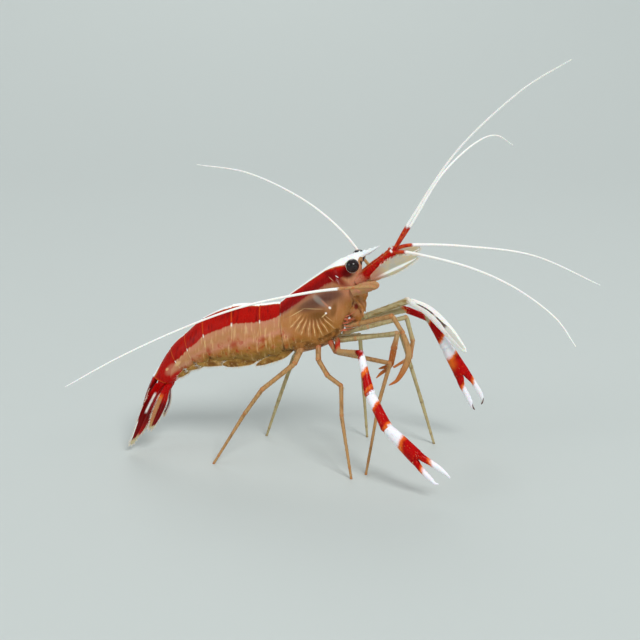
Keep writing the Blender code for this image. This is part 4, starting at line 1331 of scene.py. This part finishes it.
def fan_blade(name, side):
    """A blade of the fan: its path, half widths and thicknesses, facing, and shares of its length.

    Half thickness is even, plus a bell for the rib on the midline, less one on each side of it.
    """
    blade = FAN_BLADES[name]
    steps, closing = rounded(120, 0.03, 0.07)
    points = [fan_point(a, u, side * o) for a, u, o in blade.points]
    path, widths = drawn(points, blade.widths, steps, closing)
    across = np.cos(circle(BLADE_SIDES))
    rib = blade.rib * bell(across, 0.0, 0.1) * column(1 - 0.7 * steps)
    groove = 0.05 * bell(np.abs(across), 0.3, 0.07)
    thick = column(blade.thick * closing) + (rib - groove) * column(closing > 0.3)
    faces = blade.faces[0] * FAN_UNDER + side * blade.faces[1] * SIDEWAYS
    return path, widths, thick, faces, steps


def fan_stem(name, side):
    """The short thick root that joins a side blade to the last ring of the tail."""
    first, second = np.array(FAN_BLADES[name].points[:2])
    steps, closing = rounded(40, 0.3, 0.1)
    points = first + column((-1.3, 0.0, 1.6)) * unit(second - first)
    path = smooth_path([fan_point(a, u, side * o) for a, u, o in points], steps)
    taper = 1 - ease(steps, 0.3, 1.0)
    grid = sweep(path, (0.3 + 0.45 * taper) * closing, (0.06 + 0.44 * taper) * closing, 28)
    return tube(grid, along=0.02, across=1.0)


def eye_ball(side):
    """A ball whose poles lie on the eyestalk's axis: centre + radius (cos b axis + sin b spoke)."""
    radius = EYE_RADIUS * 0.985  # just inside the stalk's cup
    lean = np.linspace(0.03, np.pi - 0.03, 44)
    path = EYES[side] + radius * column(np.cos(lean)) * unit(EYES[side] - mirrored(STALK_ROOT, side))
    return tube(sweep(path, radius * np.sin(lean), radius * np.sin(lean), 60, UPWARDS))


def eyestalk(side):
    """A short stalk that widens to a cup, with a rim round the eye.

    The rim is a circle of small circles: centre + (reach + r cos b) spoke + (level + r sin b) axis.
    """
    centre, root = EYES[side], mirrored(STALK_ROOT, side)
    steps = np.linspace(0, 1, 40)
    radii = smooth_values(STALK_RADII, steps) + 0.06 * bell(steps, 0.93, 0.05)
    stalk = oval(root + 0.97 * column(steps) * (centre - root), radii, radii, 40, steps, UPWARDS)
    axis = unit(centre - root)
    wide = unit(np.cross(axis, UPWARDS))
    spokes = column(np.cos(circle(72))) * wide + column(np.sin(circle(72))) * np.cross(wide, axis)
    out = column(EYE_RADIUS + 0.03 * np.cos(circle(10)))
    level = column(0.1 + 0.035 * np.sin(circle(10)))
    return [stalk, hoop(centre + out * spokes[:, None] + level * axis, along=1.0, across=0.0)]


def stem_patches(side):
    """The antennule's stem of three articles, with a pointed scale beside it and small teeth."""
    steps, closing = rounded(110, 0.0, 0.04)
    path, radii = drawn(PEDUNCLE, PEDUNCLE_RADII, steps, closing, side)
    joints = bell(steps, 0.5, 0.012) + bell(steps, 0.74, 0.012)
    rims = bell(steps, 0.465, 0.022) + bell(steps, 0.705, 0.022) + bell(steps, 0.965, 0.02)
    radii = radii * 1.02 - 0.12 * joints + 0.05 * rims
    beside = mirrored((0.0, 0.75, 0.1), side)
    start, end = path[12] + 0.6 * beside, path[62] + 1.25 * beside
    patches = [oval(path, radii, radii * 0.95, 40, steps)]
    patches.append(cone(start, end, 0.34, 0.4, UPWARDS, along=0.3, across=0.95))  # the scale
    forward = unit(path[80] - path[60])  # the teeth stand above the joints and point this way
    for spot, out in ((52, 0.3), (52, -0.3), (83, 0.25), (83, -0.25)):
        root = path[spot] - 0.72 * np.cross(SIDEWAYS, forward) + side * out * SIDEWAYS
        patches.append(cone(root, root + 0.42 * forward + 0.2 * UPWARDS, 0.1, along=0.4, across=0.9))
    return patches


def antennal_scale(side):
    """The antennal scale's path, half widths and thicknesses, facing, and shares of its length.

    Half thickness is flat, plus a bell for the rib near the outer edge that sinks towards the tip.
    """
    steps, closing = rounded(90, 0.04, 0.06)
    rib = 0.16 * bell(side * np.cos(circle(BLADE_SIDES)), -0.55, 0.12) * column(1 - 0.5 * steps)
    thick = column(0.12 * closing) + rib * column(closing > 0.4)
    path, widths = drawn(SCALE, SCALE_WIDTHS, steps, closing, side)
    return path, widths, thick, mirrored(SCALE_FACES, side), steps


def antenna_root(side):
    """The antenna's root: three short articles that narrow, and a tooth at the outer side."""
    steps, closing = rounded(70, 0.0, 0.16)
    path, radii = drawn(ANTENNA_BASE, ANTENNA_BASE_RADII, steps, closing, side)
    joints = bell(steps, 0.4, 0.02) + bell(steps, 0.72, 0.02)
    rims = bell(steps, 0.36, 0.03) + bell(steps, 0.68, 0.03)
    radii = radii - 0.1 * joints + 0.05 * rims
    start = path[22] + mirrored((0.0, 0.45, -0.1), side)
    tooth = cone(start, start + mirrored((1.0, 0.35, 0.1), side), 0.22, along=0.5)
    return [oval(path, radii, 0.5 * radii, 36, steps), tooth]


def mouth_patches():
    """The small jaw legs on each side: flat lobes that lie over each other, and a thin palp."""
    steps, closing = rounded(60, 0.0, 0.14)
    folds = 0.05 * (bell(steps, 0.35, 0.03) + bell(steps, 0.66, 0.03))
    for side in SIDE_NAMES:
        for points, widths, flat in MOUTH_LOBES:
            path, radii = drawn(points, widths, steps, side=side)
            radii = (radii - folds) * closing
            yield oval(path, radii, np.maximum(radii * flat, 0.012), 32, steps)


def feeler_patch(name):
    """A feeler: circles along its curve, thinning from root to tip with a pointed end."""
    points, coloured, warmth = FEELERS[name]
    steps, closing = rounded(260, 0.0, 0.004)
    tip = length("feeler_tip")
    radii = (tip + (length("feeler_root") - tip) * (1 - steps) ** 1.3) * closing
    radii = radii * (1 - 0.35 * ease(steps, 0.9, 1.0)) * (1 + 0.4 * warmth * bell(steps, 0, 0.09))
    root = column(np.clip((coloured - steps) / 0.05 + 0.5, 0, 1))
    return oval(smooth_path(points, steps), radii, radii, 12, steps, root=root, warmth=warmth)


# ---------------------------------------------------------------- limbs


def limb_stations(limb):
    """The limb's joints with its cuts put in, the radius at each and each one's share of the run."""
    rows = np.array(limb.rows)
    run = travelled(rows[:, :3])
    shares = np.union1d(run / run[-1], limb.cuts)
    rows = read(shares, run / run[-1], rows)
    return rows[:, :3], rows[:, 3], shares


def article(start, end, first, last, shares, flat):
    """One article of a limb: circles along a line, waisted, with a round end at each joint.

    Its radius goes from first to last with a waist, a small share of sin(pi t), is narrower at the
    near end, where it sits in its neighbour, and has a bead round the far end. Both ends close in
    flattened half balls.
    """
    run = np.linalg.norm(end - start)
    t = np.linspace(0, 1, 34)
    waist = 0.09 * np.sin(np.pi * t) + 0.2 * (1 - ease(t * run, 0, first))
    radii = (first + t * (last - first)) * (1 - waist) + 0.07 * last * bell((1 - t) * run, 0.28, 0.16)
    lean = np.linspace(0, np.pi / 2, 7)[:-1]
    near, beyond = -0.75 * radii[0] * np.cos(lean), run + 0.6 * radii[-1] * np.cos(lean[::-1])
    distance = np.concatenate((near, t * run, beyond))
    radii = np.concatenate((radii[0] * np.sin(lean), radii, radii[-1] * np.sin(lean[::-1])))
    radii = np.maximum(radii, 0.01)
    joint = np.maximum(bell(distance, 0, 0.3), bell(distance, run, 0.35)) + 0.5 * bell(distance, run, 0.7)
    along = shares[0] + (shares[1] - shares[0]) * np.clip(distance / run, 0, 1)
    path = start + column(distance) * unit(end - start)
    return oval(path, radii, radii * flat, 24, along, joint=column(np.clip(joint, 0, 1)))


def curved_end(points, radii, shares, flat):
    """The curved last part of a limb: a flat oval along the smooth curve through its joints."""
    steps, closing = rounded(110, 0.05, 0.06)
    path, widths = drawn(points, radii, steps, closing)
    along = shares[0] + (shares[-1] - shares[0]) * steps
    joint = 0.6 * column(bell(steps, 0.0, 0.05))
    thick = np.maximum(widths * flat, 0.05 * closing)
    return oval(path, widths, thick, 28, along, joint=joint)


def palm_patch(start, end, radii, shares, aside, size):
    """A claw's palm: an oval that widens evenly up to the fork between its fingers.

    Its half width goes from the first radius to the size and its half thickness from the first
    radius to the second; both close in half ovals at the ends.
    """
    onwards = unit(end - start)
    steps, closing = rounded(90, 0.1, 0.1)
    path = start + column(steps * (np.linalg.norm(end - start) + 0.35) - 0.35) * onwards
    thick = (radii[0] + steps * (radii[1] - radii[0])) * 0.86 * closing
    wide = (radii[0] * (1 - 0.12 * bell(steps, 0.12, 0.1)) + (size - radii[0]) * steps) * closing
    along = shares[0] + (shares[1] - shares[0]) * steps
    joint = 0.5 * column(bell(steps, 0.05, 0.05))
    return oval(path, wide, thick, 36, along, np.cross(aside, onwards), joint=joint)


def finger_patch(rows, inner, faces, run, back):
    """A claw's finger: a curved oval spike whose inner edge has low rounded teeth.

    Its marks go on along the limb: 1 at the palm's end, and further by the distance over the run.
    """
    steps, closing = rounded(90, 0.06, 0.03)
    path, radii = drawn(rows[:, :3], rows[:, 3], steps, closing)
    teeth = 0.2 * np.abs(np.sin(steps * 30)) * ease(steps, 0.4, 0.5) * (1 - ease(steps, 0.84, 0.92))
    edge = 1 + column(teeth) * bell(inner * np.cos(circle(28)), 1.0, 0.25)
    along = 1 + (steps * travelled(path)[-1] - back) / run
    return oval(path, column(radii) * edge, radii * 0.85, 28, along, faces, joint=0.0)


def claw_patches(limb, points, radii, shares):
    """The palm and the two fingers at a limb's end; the fingers' outer sides carry on the palm's."""
    start = points[-2]
    upper, lower = (np.array(finger) for finger in limb.fingers)
    end = (upper[0, :3] + lower[0, :3]) / 2
    onwards = unit(end - start)
    aside = upper[0, :3] - lower[0, :3]
    aside = unit(aside - onwards * np.dot(aside, onwards))
    size = np.linalg.norm(upper[0, :3] - end) + (upper[0, 3] + lower[0, 3]) / 2
    patches = [palm_patch(start, end, radii[-2:], shares[-2:], aside, size)]
    for inner, finger in ((-1, upper), (1, lower)):
        back = FINGER_ROOT * finger[0, 3]
        root = (*(finger[0, :3] - back * onwards), 0.9 * finger[0, 3])
        faces = np.cross(aside, onwards)
        patches.append(finger_patch(np.vstack((root, finger)), inner, faces, travelled(points)[-1], back))
    return patches


def limb_patches(name):
    """Every article of a limb, and its fingers or its curved end, with nothing below the floor."""
    limb = LIMBS[name]
    points, radii, shares = limb_stations(limb)
    straight = len(points) - 1 - limb.curved - bool(limb.fingers)
    patches = []
    for first in range(straight):
        pair = slice(first, first + 2)
        flat = limb.flat if shares[first] > FLAT_FROM else 1.0
        patches.append(article(*points[pair], *radii[pair], shares[pair], flat))
    if limb.curved:
        patches.append(curved_end(points[straight:], radii[straight:], shares[straight:], limb.flat))
    if limb.fingers:
        patches += claw_patches(limb, points, radii, shares)
    return [patch._replace(points=np.maximum(patch.points, (-np.inf, -np.inf, 0.0))) for patch in patches]


# ---------------------------------------------------------------- hairs

HAIR_STEPS = np.array((0.0, 0.4, 0.75, 1.0))
HAIR_SIDES = 3
MAP_PATCH = 0.003  # how much of the map each hair takes up


def bristles(roots, directions, lengths, radius, bend, **marks):
    """Fine spikes: root + length * (t * direction + t2 * bend), three-sided, tapering almost to a point."""
    roots, directions = np.asarray(roots, dtype=float), unit(directions)
    count, t = len(roots), column(HAIR_STEPS)
    first = unit(np.cross(directions, UPWARDS + 0.31 * FORWARDS))
    second = np.cross(directions, first)
    bend = np.broadcast_to(bend, (count, 3))
    spine = roots[:, None] + lengths[:, None, None] * (t * directions[:, None] + t**2 * bend[:, None])
    turn = column(circle(HAIR_SIDES))
    spokes = first[:, None] * np.cos(turn) + second[:, None] * np.sin(turn)
    taper = radius * np.maximum(1 - t, 0.12)[..., None]
    points = spine[:, :, None] + taper * spokes[:, None]
    points[..., 2] = np.maximum(points[..., 2], 0.0)
    index = np.arange(points[..., 0].size).reshape(points.shape[:3])
    fans = np.vstack((index[:, 0, ::-1], index[:, -1]))
    spread = {name: np.repeat(values, len(t) * HAIR_SIDES) for name, values in marks.items()}
    return Patch(points.reshape(-1, 3), woven(index), fans, spread)


def make_hairs(name, groups, look, slot, stout=1.0):
    """Bristles as one mesh with the OFBake map: each one a small patch at its root's place.

    Each group is (roots, directions, lengths, bend, u, v); u and v place its roots on an unwrap
    of the piece that they grow from, and every group has its own cell of the map.
    """
    cells = int(np.ceil(np.sqrt(len(groups))))
    patches = []
    for cell, (*hairs, bend, u, v) in enumerate(groups):
        map_u = (cell % cells + 0.02 + 0.96 * u) / cells
        map_v = (cell // cells + 0.02 + 0.96 * v) / cells
        patches.append(bristles(*hairs, stout * length("bristle"), bend, map_u=map_u, map_v=map_v))
    mesh = make_piece(name, patches, look, slot).data
    places = np.empty((2, len(mesh.vertices)), dtype=np.float32)
    for row, mark in zip(places, ("map_u", "map_v")):
        mesh.attributes[mark].data.foreach_get("value", row)
        mesh.attributes.remove(mesh.attributes[mark])
    step, turn = np.divmod(np.arange(len(mesh.vertices)) % (len(HAIR_STEPS) * HAIR_SIDES), HAIR_SIDES)
    places = places + MAP_PATCH / 2 * np.stack((turn - 1.0, step / 1.5 - 1.0))
    corners = np.empty(len(mesh.loops), dtype=np.int32)
    mesh.loops.foreach_get("vertex_index", corners)
    mesh.uv_layers.new(name="OFBake").data.foreach_set("uv", places.T[corners].astype(np.float32).ravel())


def edge_hairs(path, widths, faces, fringe, reach, draw):
    """Hairs along both edges of a flat blade, leaning outwards and towards its tip."""
    wide, thin = frames(path, faces)
    count, first, last, sway = fringe
    share = np.sort(draw.uniform(first, last, count))
    index, steps = share * (len(path) - 1), np.arange(len(path))
    side = np.where(draw.random(count) < 0.5, -1.0, 1.0)
    out = column(side) * read(index, steps, wide)
    onwards = read(index, steps, unit(np.gradient(path, axis=0)))
    roots = read(index, steps, path) + 0.96 * column(np.interp(index, steps, widths)) * out
    lean = column(sway + 0.8 * ease(share, 0.7, 1.0))
    directions = out * column(1 - 0.5 * ease(share, 0.8, 1.0)) + lean * onwards
    directions = directions + 0.12 * draw.normal(size=(count, 1)) * read(index, steps, thin)
    lengths = reach * draw.uniform(0.75, 1.1, count)
    return roots, directions, lengths, 0.25 * onwards, (side + 1) / 2 * 0.9 + 0.05, share


def stem_hairs(side, draw):
    """Short bristles all round an antennule's stem, leaning towards its end."""
    steps = np.linspace(0, 1, 80)
    path, radii = drawn(PEDUNCLE, PEDUNCLE_RADII, steps, side=side)
    wide, thin = frames(path, SIDEWAYS)
    share = draw.uniform(0.15, 0.98, STEM_HAIRS)
    turn = draw.uniform(0, 2 * np.pi, STEM_HAIRS)
    at = np.rint(share * (len(path) - 1)).astype(int)
    out = wide[at] * column(np.cos(turn)) + thin[at] * column(np.sin(turn))
    onwards = unit(np.gradient(path, axis=0))[at]
    lengths = STEM_HAIR * draw.uniform(0.6, 1.1, STEM_HAIRS)
    roots = path[at] + 0.95 * column(radii[at]) * out
    return roots, out + 1.1 * onwards, lengths, 0.2 * onwards, turn / (2 * np.pi), share


def tuft_hairs(draw):
    """Bristles at the roots of the jaw legs on both sides, pointing forwards."""
    share = draw.random(TUFT_HAIRS)
    side = np.where(draw.random(TUFT_HAIRS) < 0.5, RIGHT, LEFT)
    roots = TUFT_LINE[0] + column(share) * (TUFT_LINE[1] - TUFT_LINE[0])
    roots[:, 1] = roots[:, 1] * side
    roots = roots + 0.4 * draw.normal(size=(TUFT_HAIRS, 3)) * (1.0, 0.2, 0.7)
    directions = FORWARDS + 0.1 * UPWARDS + 0.2 * draw.normal(size=(TUFT_HAIRS, 3))
    directions[:, 1] = directions[:, 1] + 0.15 * side
    lengths = draw.uniform(1.0, 2.4, TUFT_HAIRS)
    return roots, directions, lengths, 0.2 * UPWARDS, (side + 1) / 2 * 0.9 + 0.05, share


def leg_hairs(name, count, draw):
    """Short bristles on a limb, standing off its articles and leaning towards its end."""
    points, radii, shares = limb_stations(LIMBS[name])
    share = draw.uniform(0.12, 0.985, count)
    first = np.clip(np.searchsorted(shares, share) - 1, 0, len(points) - 2)
    onwards = unit(points[first + 1] - points[first])
    wide = unit(np.cross(onwards, SIDEWAYS))
    thin = unit(np.cross(wide, onwards))
    turn = draw.uniform(0, 2 * np.pi, count)
    across, through = wide * column(np.cos(turn)), thin * column(np.sin(turn))
    squash = column(np.where(share > FLAT_FROM, LIMBS[name].flat, 1.0))
    radius = column(np.interp(share, shares, radii) * 0.9)
    roots = read(share, shares, points) + radius * (across + squash * through)
    lengths = draw.uniform(0.3, 0.75, count) * (1 - 0.35 * share)
    return roots, (across + through) * 0.8 + onwards, lengths, 0.3 * onwards, turn / (2 * np.pi), share


# ---------------------------------------------------------------- operators


class ShrimpOperator(Operator):
    """Shared options of the operators below."""

    bl_options = {"REGISTER", "UNDO"}


class MakeCarapace(ShrimpOperator):
    """Make the shell of head and thorax with the rostrum"""

    bl_idname = "shrimp.carapace"
    bl_label = "Carapace"

    def execute(self, context):
        make_piece("carapace_shell", carapace_patches(), "carapace", "red_shell", "carapace", sharp=0.7)
        return {"FINISHED"}


class MakeTail(ShrimpOperator):
    """Make the six plates of the tail and the flesh that runs through the body"""

    bl_idname = "shrimp.tail"
    bl_label = "Tail plates and body"

    def execute(self, context):
        for ring in range(1, RINGS + 1):
            patches = [tail_plate(ring)]
            make_piece(f"tail_plate_{ring}", patches, "plate", "red_shell", f"abdomen_{ring}", sharp=0.7)
        make_piece("soft_body", [soft_body()], "soft", "amber_shell")
        return {"FINISHED"}


class MakeSwimmerets(ShrimpOperator):
    """Make the swimmerets under the tail with their fringes"""

    bl_idname = "shrimp.swimmerets"
    bl_label = "Swimmerets"

    def execute(self, context):
        make_piece("swimmerets", swimmeret_patches(), "swimmeret", "amber_shell")
        draw = np.random.default_rng(SEED)
        groups = [
            edge_hairs(path, widths, SIDEWAYS, SWIMMERET_FRINGE, SWIMMERET_HAIR, draw)
            for path, widths in swimmeret_leaves()
        ]
        make_hairs("swimmeret_fringe", groups, "pale_hair", "amber_shell")
        return {"FINISHED"}


class MakeFan(ShrimpOperator):
    """Make the five blades of the tail fan with their fringes"""

    bl_idname = "shrimp.fan"
    bl_label = "Tail fan"

    def execute(self, context):
        draw = np.random.default_rng(SEED + 1)
        groups = []
        for name in FAN_BLADES:
            for side, word in SIDE_NAMES.items() if name != "telson" else ((LEFT, ""),):
                path, widths, thick, faces, steps = fan_blade(name, side)
                patches = [oval(path, widths, thick, BLADE_SIDES, steps, faces, -side)]
                if word:
                    patches.append(fan_stem(name, side))
                node = f"{name}_{word}".strip("_")
                make_piece(f"{node}_blade", patches, name, "red_shell", node)
                groups.append(edge_hairs(path, widths, faces, FAN_FRINGE, length("fringe"), draw))
        make_hairs("tail_fan_fringe", groups, "pale_hair", "red_shell")
        return {"FINISHED"}


class MakeEyes(ShrimpOperator):
    """Make the eyes and their stalks"""

    bl_idname = "shrimp.eyes"
    bl_label = "Eyes"

    def execute(self, context):
        for side, word in SIDE_NAMES.items():
            make_piece(f"eyeball_{word}", [eye_ball(side)], "eye", "black_eye", f"eye_{word}")
            make_piece(f"stalk_{word}", eyestalk(side), "stalk", "amber_shell", f"eyestalk_{word}")
        return {"FINISHED"}


class MakeHead(ShrimpOperator):
    """Make the antennule stems, antennal scales, antenna roots and mouthparts"""

    bl_idname = "shrimp.head"
    bl_label = "Head pieces"

    def execute(self, context):
        draw = np.random.default_rng(SEED + 2)
        fringes, reds = [], []
        for side, word in SIDE_NAMES.items():
            stem = f"antennule_stem_{word}"
            make_piece(f"{stem}_shell", stem_patches(side), "stem", "red_shell", stem)
            reds.append(stem_hairs(side, draw))
            path, widths, thick, faces, steps = antennal_scale(side)
            patches = [oval(path, widths, thick, BLADE_SIDES, steps, faces, -side)]
            scale = f"antennal_scale_{word}"
            make_piece(f"{scale}_blade", patches, "scale", "pale_scale", scale)
            fringes.append(edge_hairs(path, widths, faces, SCALE_FRINGE, SCALE_HAIR, draw))
            root = f"antenna_root_{word}"
            make_piece(f"{root}_shell", antenna_root(side), "antenna_root", "leg_shell", root)
        make_piece("mouth_lobes", list(mouth_patches()), "mouth", "leg_shell", "mouthparts")
        make_hairs("scale_fringe", fringes, "pale_hair", "pale_scale")
        make_hairs("head_bristles", reds, "red_hair", "red_shell")
        make_hairs("jaw_tufts", [tuft_hairs(draw)], "tuft_hair", "red_shell", TUFT_STOUTNESS)
        return {"FINISHED"}


class MakeFeelers(ShrimpOperator):
    """Make the two antennae and the four whips of the antennules"""

    bl_idname = "shrimp.feelers"
    bl_label = "Feelers"

    def execute(self, context):
        for name in FEELERS:
            nodes = (f"{name}_base", f"{name}_tip")
            make_piece(f"{name}_whip", [feeler_patch(name)], "feeler", "white_feeler", *nodes)
        return {"FINISHED"}


class MakeLimbs(ShrimpOperator):
    """Make the jaw legs, claw legs and walking legs with their bristles"""

    bl_idname = "shrimp.limbs"
    bl_label = "Limbs"

    def execute(self, context):
        draw = np.random.default_rng(SEED + 3)
        count = context.scene.shrimp_sizes.leg_bristles
        groups = []
        for name, limb in LIMBS.items():
            nodes = (f"{name}_upper", f"{name}_lower")
            slot = "claw_shell" if limb.finish.startswith("claw") else "leg_shell"
            make_piece(f"{name}_shell", limb_patches(name), limb.finish, slot, *nodes)
            groups.append(leg_hairs(name, count, draw))
        make_hairs("leg_bristles", groups, "tan_hair", "leg_shell")
        return {"FINISHED"}


# ---------------------------------------------------------------- the stage, in metres

FLOOR_SIDES = 96
FLAT_REACH = 0.5  # the radius within which the floor is flat
SKY_COLOUR = (0.94, 0.97, 1.0, 1.0)
LIGHT_TARGET = (0.0, 0.0, 0.025)
VIEW_TARGET = Vector((-0.0042, -0.001, 0.0255))


def make_floor():
    """A pale disc that curves up far off: z = 0.35 (r - reach) squared past its flat reach."""
    radii = np.concatenate((np.linspace(0.02, FLAT_REACH, 12), np.linspace(0.55, 2.5, 30)))[:, None, None]
    turn = column(circle(FLOOR_SIDES))
    height = 0.35 * np.clip(radii - FLAT_REACH, 0, None) ** 2
    grid = radii * np.hstack((np.cos(turn), np.sin(turn), 0 * turn)) + height * UPWARDS
    index = 1 + np.arange(grid[..., 0].size).reshape(-1, FLOOR_SIDES)
    middle = np.stack((0 * index[0], index[0], np.roll(index[0], -1)), axis=-1)
    points = np.vstack(((0.0, 0.0, 0.0), grid.reshape(-1, 3)))
    graph = Graph("floor")
    graph.done((*bpy.context.scene.shrimp_stage.floor, 1.0), 0.9)
    patch = Patch(points, woven(index)[:, [0, 3, 2, 1]], middle, {})
    floor = make_mesh("floor", points, patch, graph.material)


def stand(name, data, place, target):
    """An object in the scene at a place, turned to look at the target."""
    made = bpy.data.objects.new(name, data)
    made.location = place
    made.rotation_euler = (Vector(target) - Vector(place)).to_track_quat("-Z", "Y").to_euler()
    bpy.context.scene.collection.objects.link(made)
    return made


def make_lights(scene):
    """A large soft light at the front and right, a fill from the left, one behind, and a pale sky."""
    settings = scene.shrimp_stage
    lights = (
        ("key_light", (0.7, -1.05, 1.25), 0.6, settings.key),
        ("fill_light", (-1.3, -0.8, 0.6), 0.9, settings.fill),
        ("rim_light", (-0.3, 1.3, 1.1), 0.9, settings.fill),
    )
    for name, place, size, power in lights:
        lamp = bpy.data.lights.new(name, "AREA")
        lamp.shape = "DISK"
        lamp.size = size
        lamp.energy = power
        stand(name, lamp, place, LIGHT_TARGET)
    scene.world = bpy.data.worlds.new("sky")
    scene.world.use_nodes = True
    background = scene.world.node_tree.nodes["Background"]
    background.inputs["Color"].default_value = SKY_COLOUR
    background.inputs["Strength"].default_value = settings.sky
    scene.view_settings.view_transform = "Standard"


def make_camera(scene):
    """The camera, turned and raised round the point that it looks at."""
    settings = scene.shrimp_stage
    turn, rise = settings.turn, settings.rise
    back = Vector((np.sin(turn) * np.cos(rise), -np.cos(turn) * np.cos(rise), np.sin(rise)))
    lens = bpy.data.cameras.new("camera")
    lens.lens = settings.lens
    lens.sensor_width = 36.0
    lens.clip_start = 0.005
    lens.clip_end = 20.0
    scene.camera = stand("camera", lens, VIEW_TARGET + back * settings.distance, VIEW_TARGET)


class MakeStage(ShrimpOperator):
    """Make the floor, the lights and the camera"""

    bl_idname = "shrimp.stage"
    bl_label = "Stage"

    def execute(self, context):
        make_floor()
        make_lights(context.scene)
        make_camera(context.scene)
        return {"FINISHED"}


GROUPS = {"shrimp_sizes": ShrimpSizes, "shrimp_colours": ShrimpColours, "shrimp_stage": StageSettings}
PIECES = (
    MakeCarapace, MakeTail, MakeSwimmerets, MakeFan, MakeEyes, MakeHead, MakeFeelers, MakeLimbs, MakeStage
)


class ShrimpPanel(Panel):
    """The shrimp's pieces and settings in the sidebar."""

    bl_idname = "VIEW3D_PT_shrimp"
    bl_label = "Cleaner Shrimp"
    bl_space_type = "VIEW_3D"
    bl_region_type = "UI"
    bl_category = "Shrimp"

    def draw(self, context):
        for operator in PIECES:
            self.layout.operator(operator.bl_idname)
        for name, group in GROUPS.items():
            for setting in group.__annotations__:
                self.layout.prop(getattr(context.scene, name), setting)


def register():
    """Add the settings to the scene, and the operators and the panel to the program."""
    for name, group in GROUPS.items():
        bpy.utils.register_class(group)
        setattr(bpy.types.Scene, name, PointerProperty(type=group))
    for entry in (*PIECES, ShrimpPanel):
        bpy.utils.register_class(entry)


def unregister():
    """Take away all that register() added."""
    for entry in (ShrimpPanel, *reversed(PIECES)):
        bpy.utils.unregister_class(entry)
    for name, group in reversed(GROUPS.items()):
        delattr(bpy.types.Scene, name)
        bpy.utils.unregister_class(group)


def main():
    """Make every piece and the stage."""
    register()
    for piece in PIECES:
        getattr(bpy.ops.shrimp, piece.bl_idname.split(".")[1])()


if __name__ == "__main__":
    main()
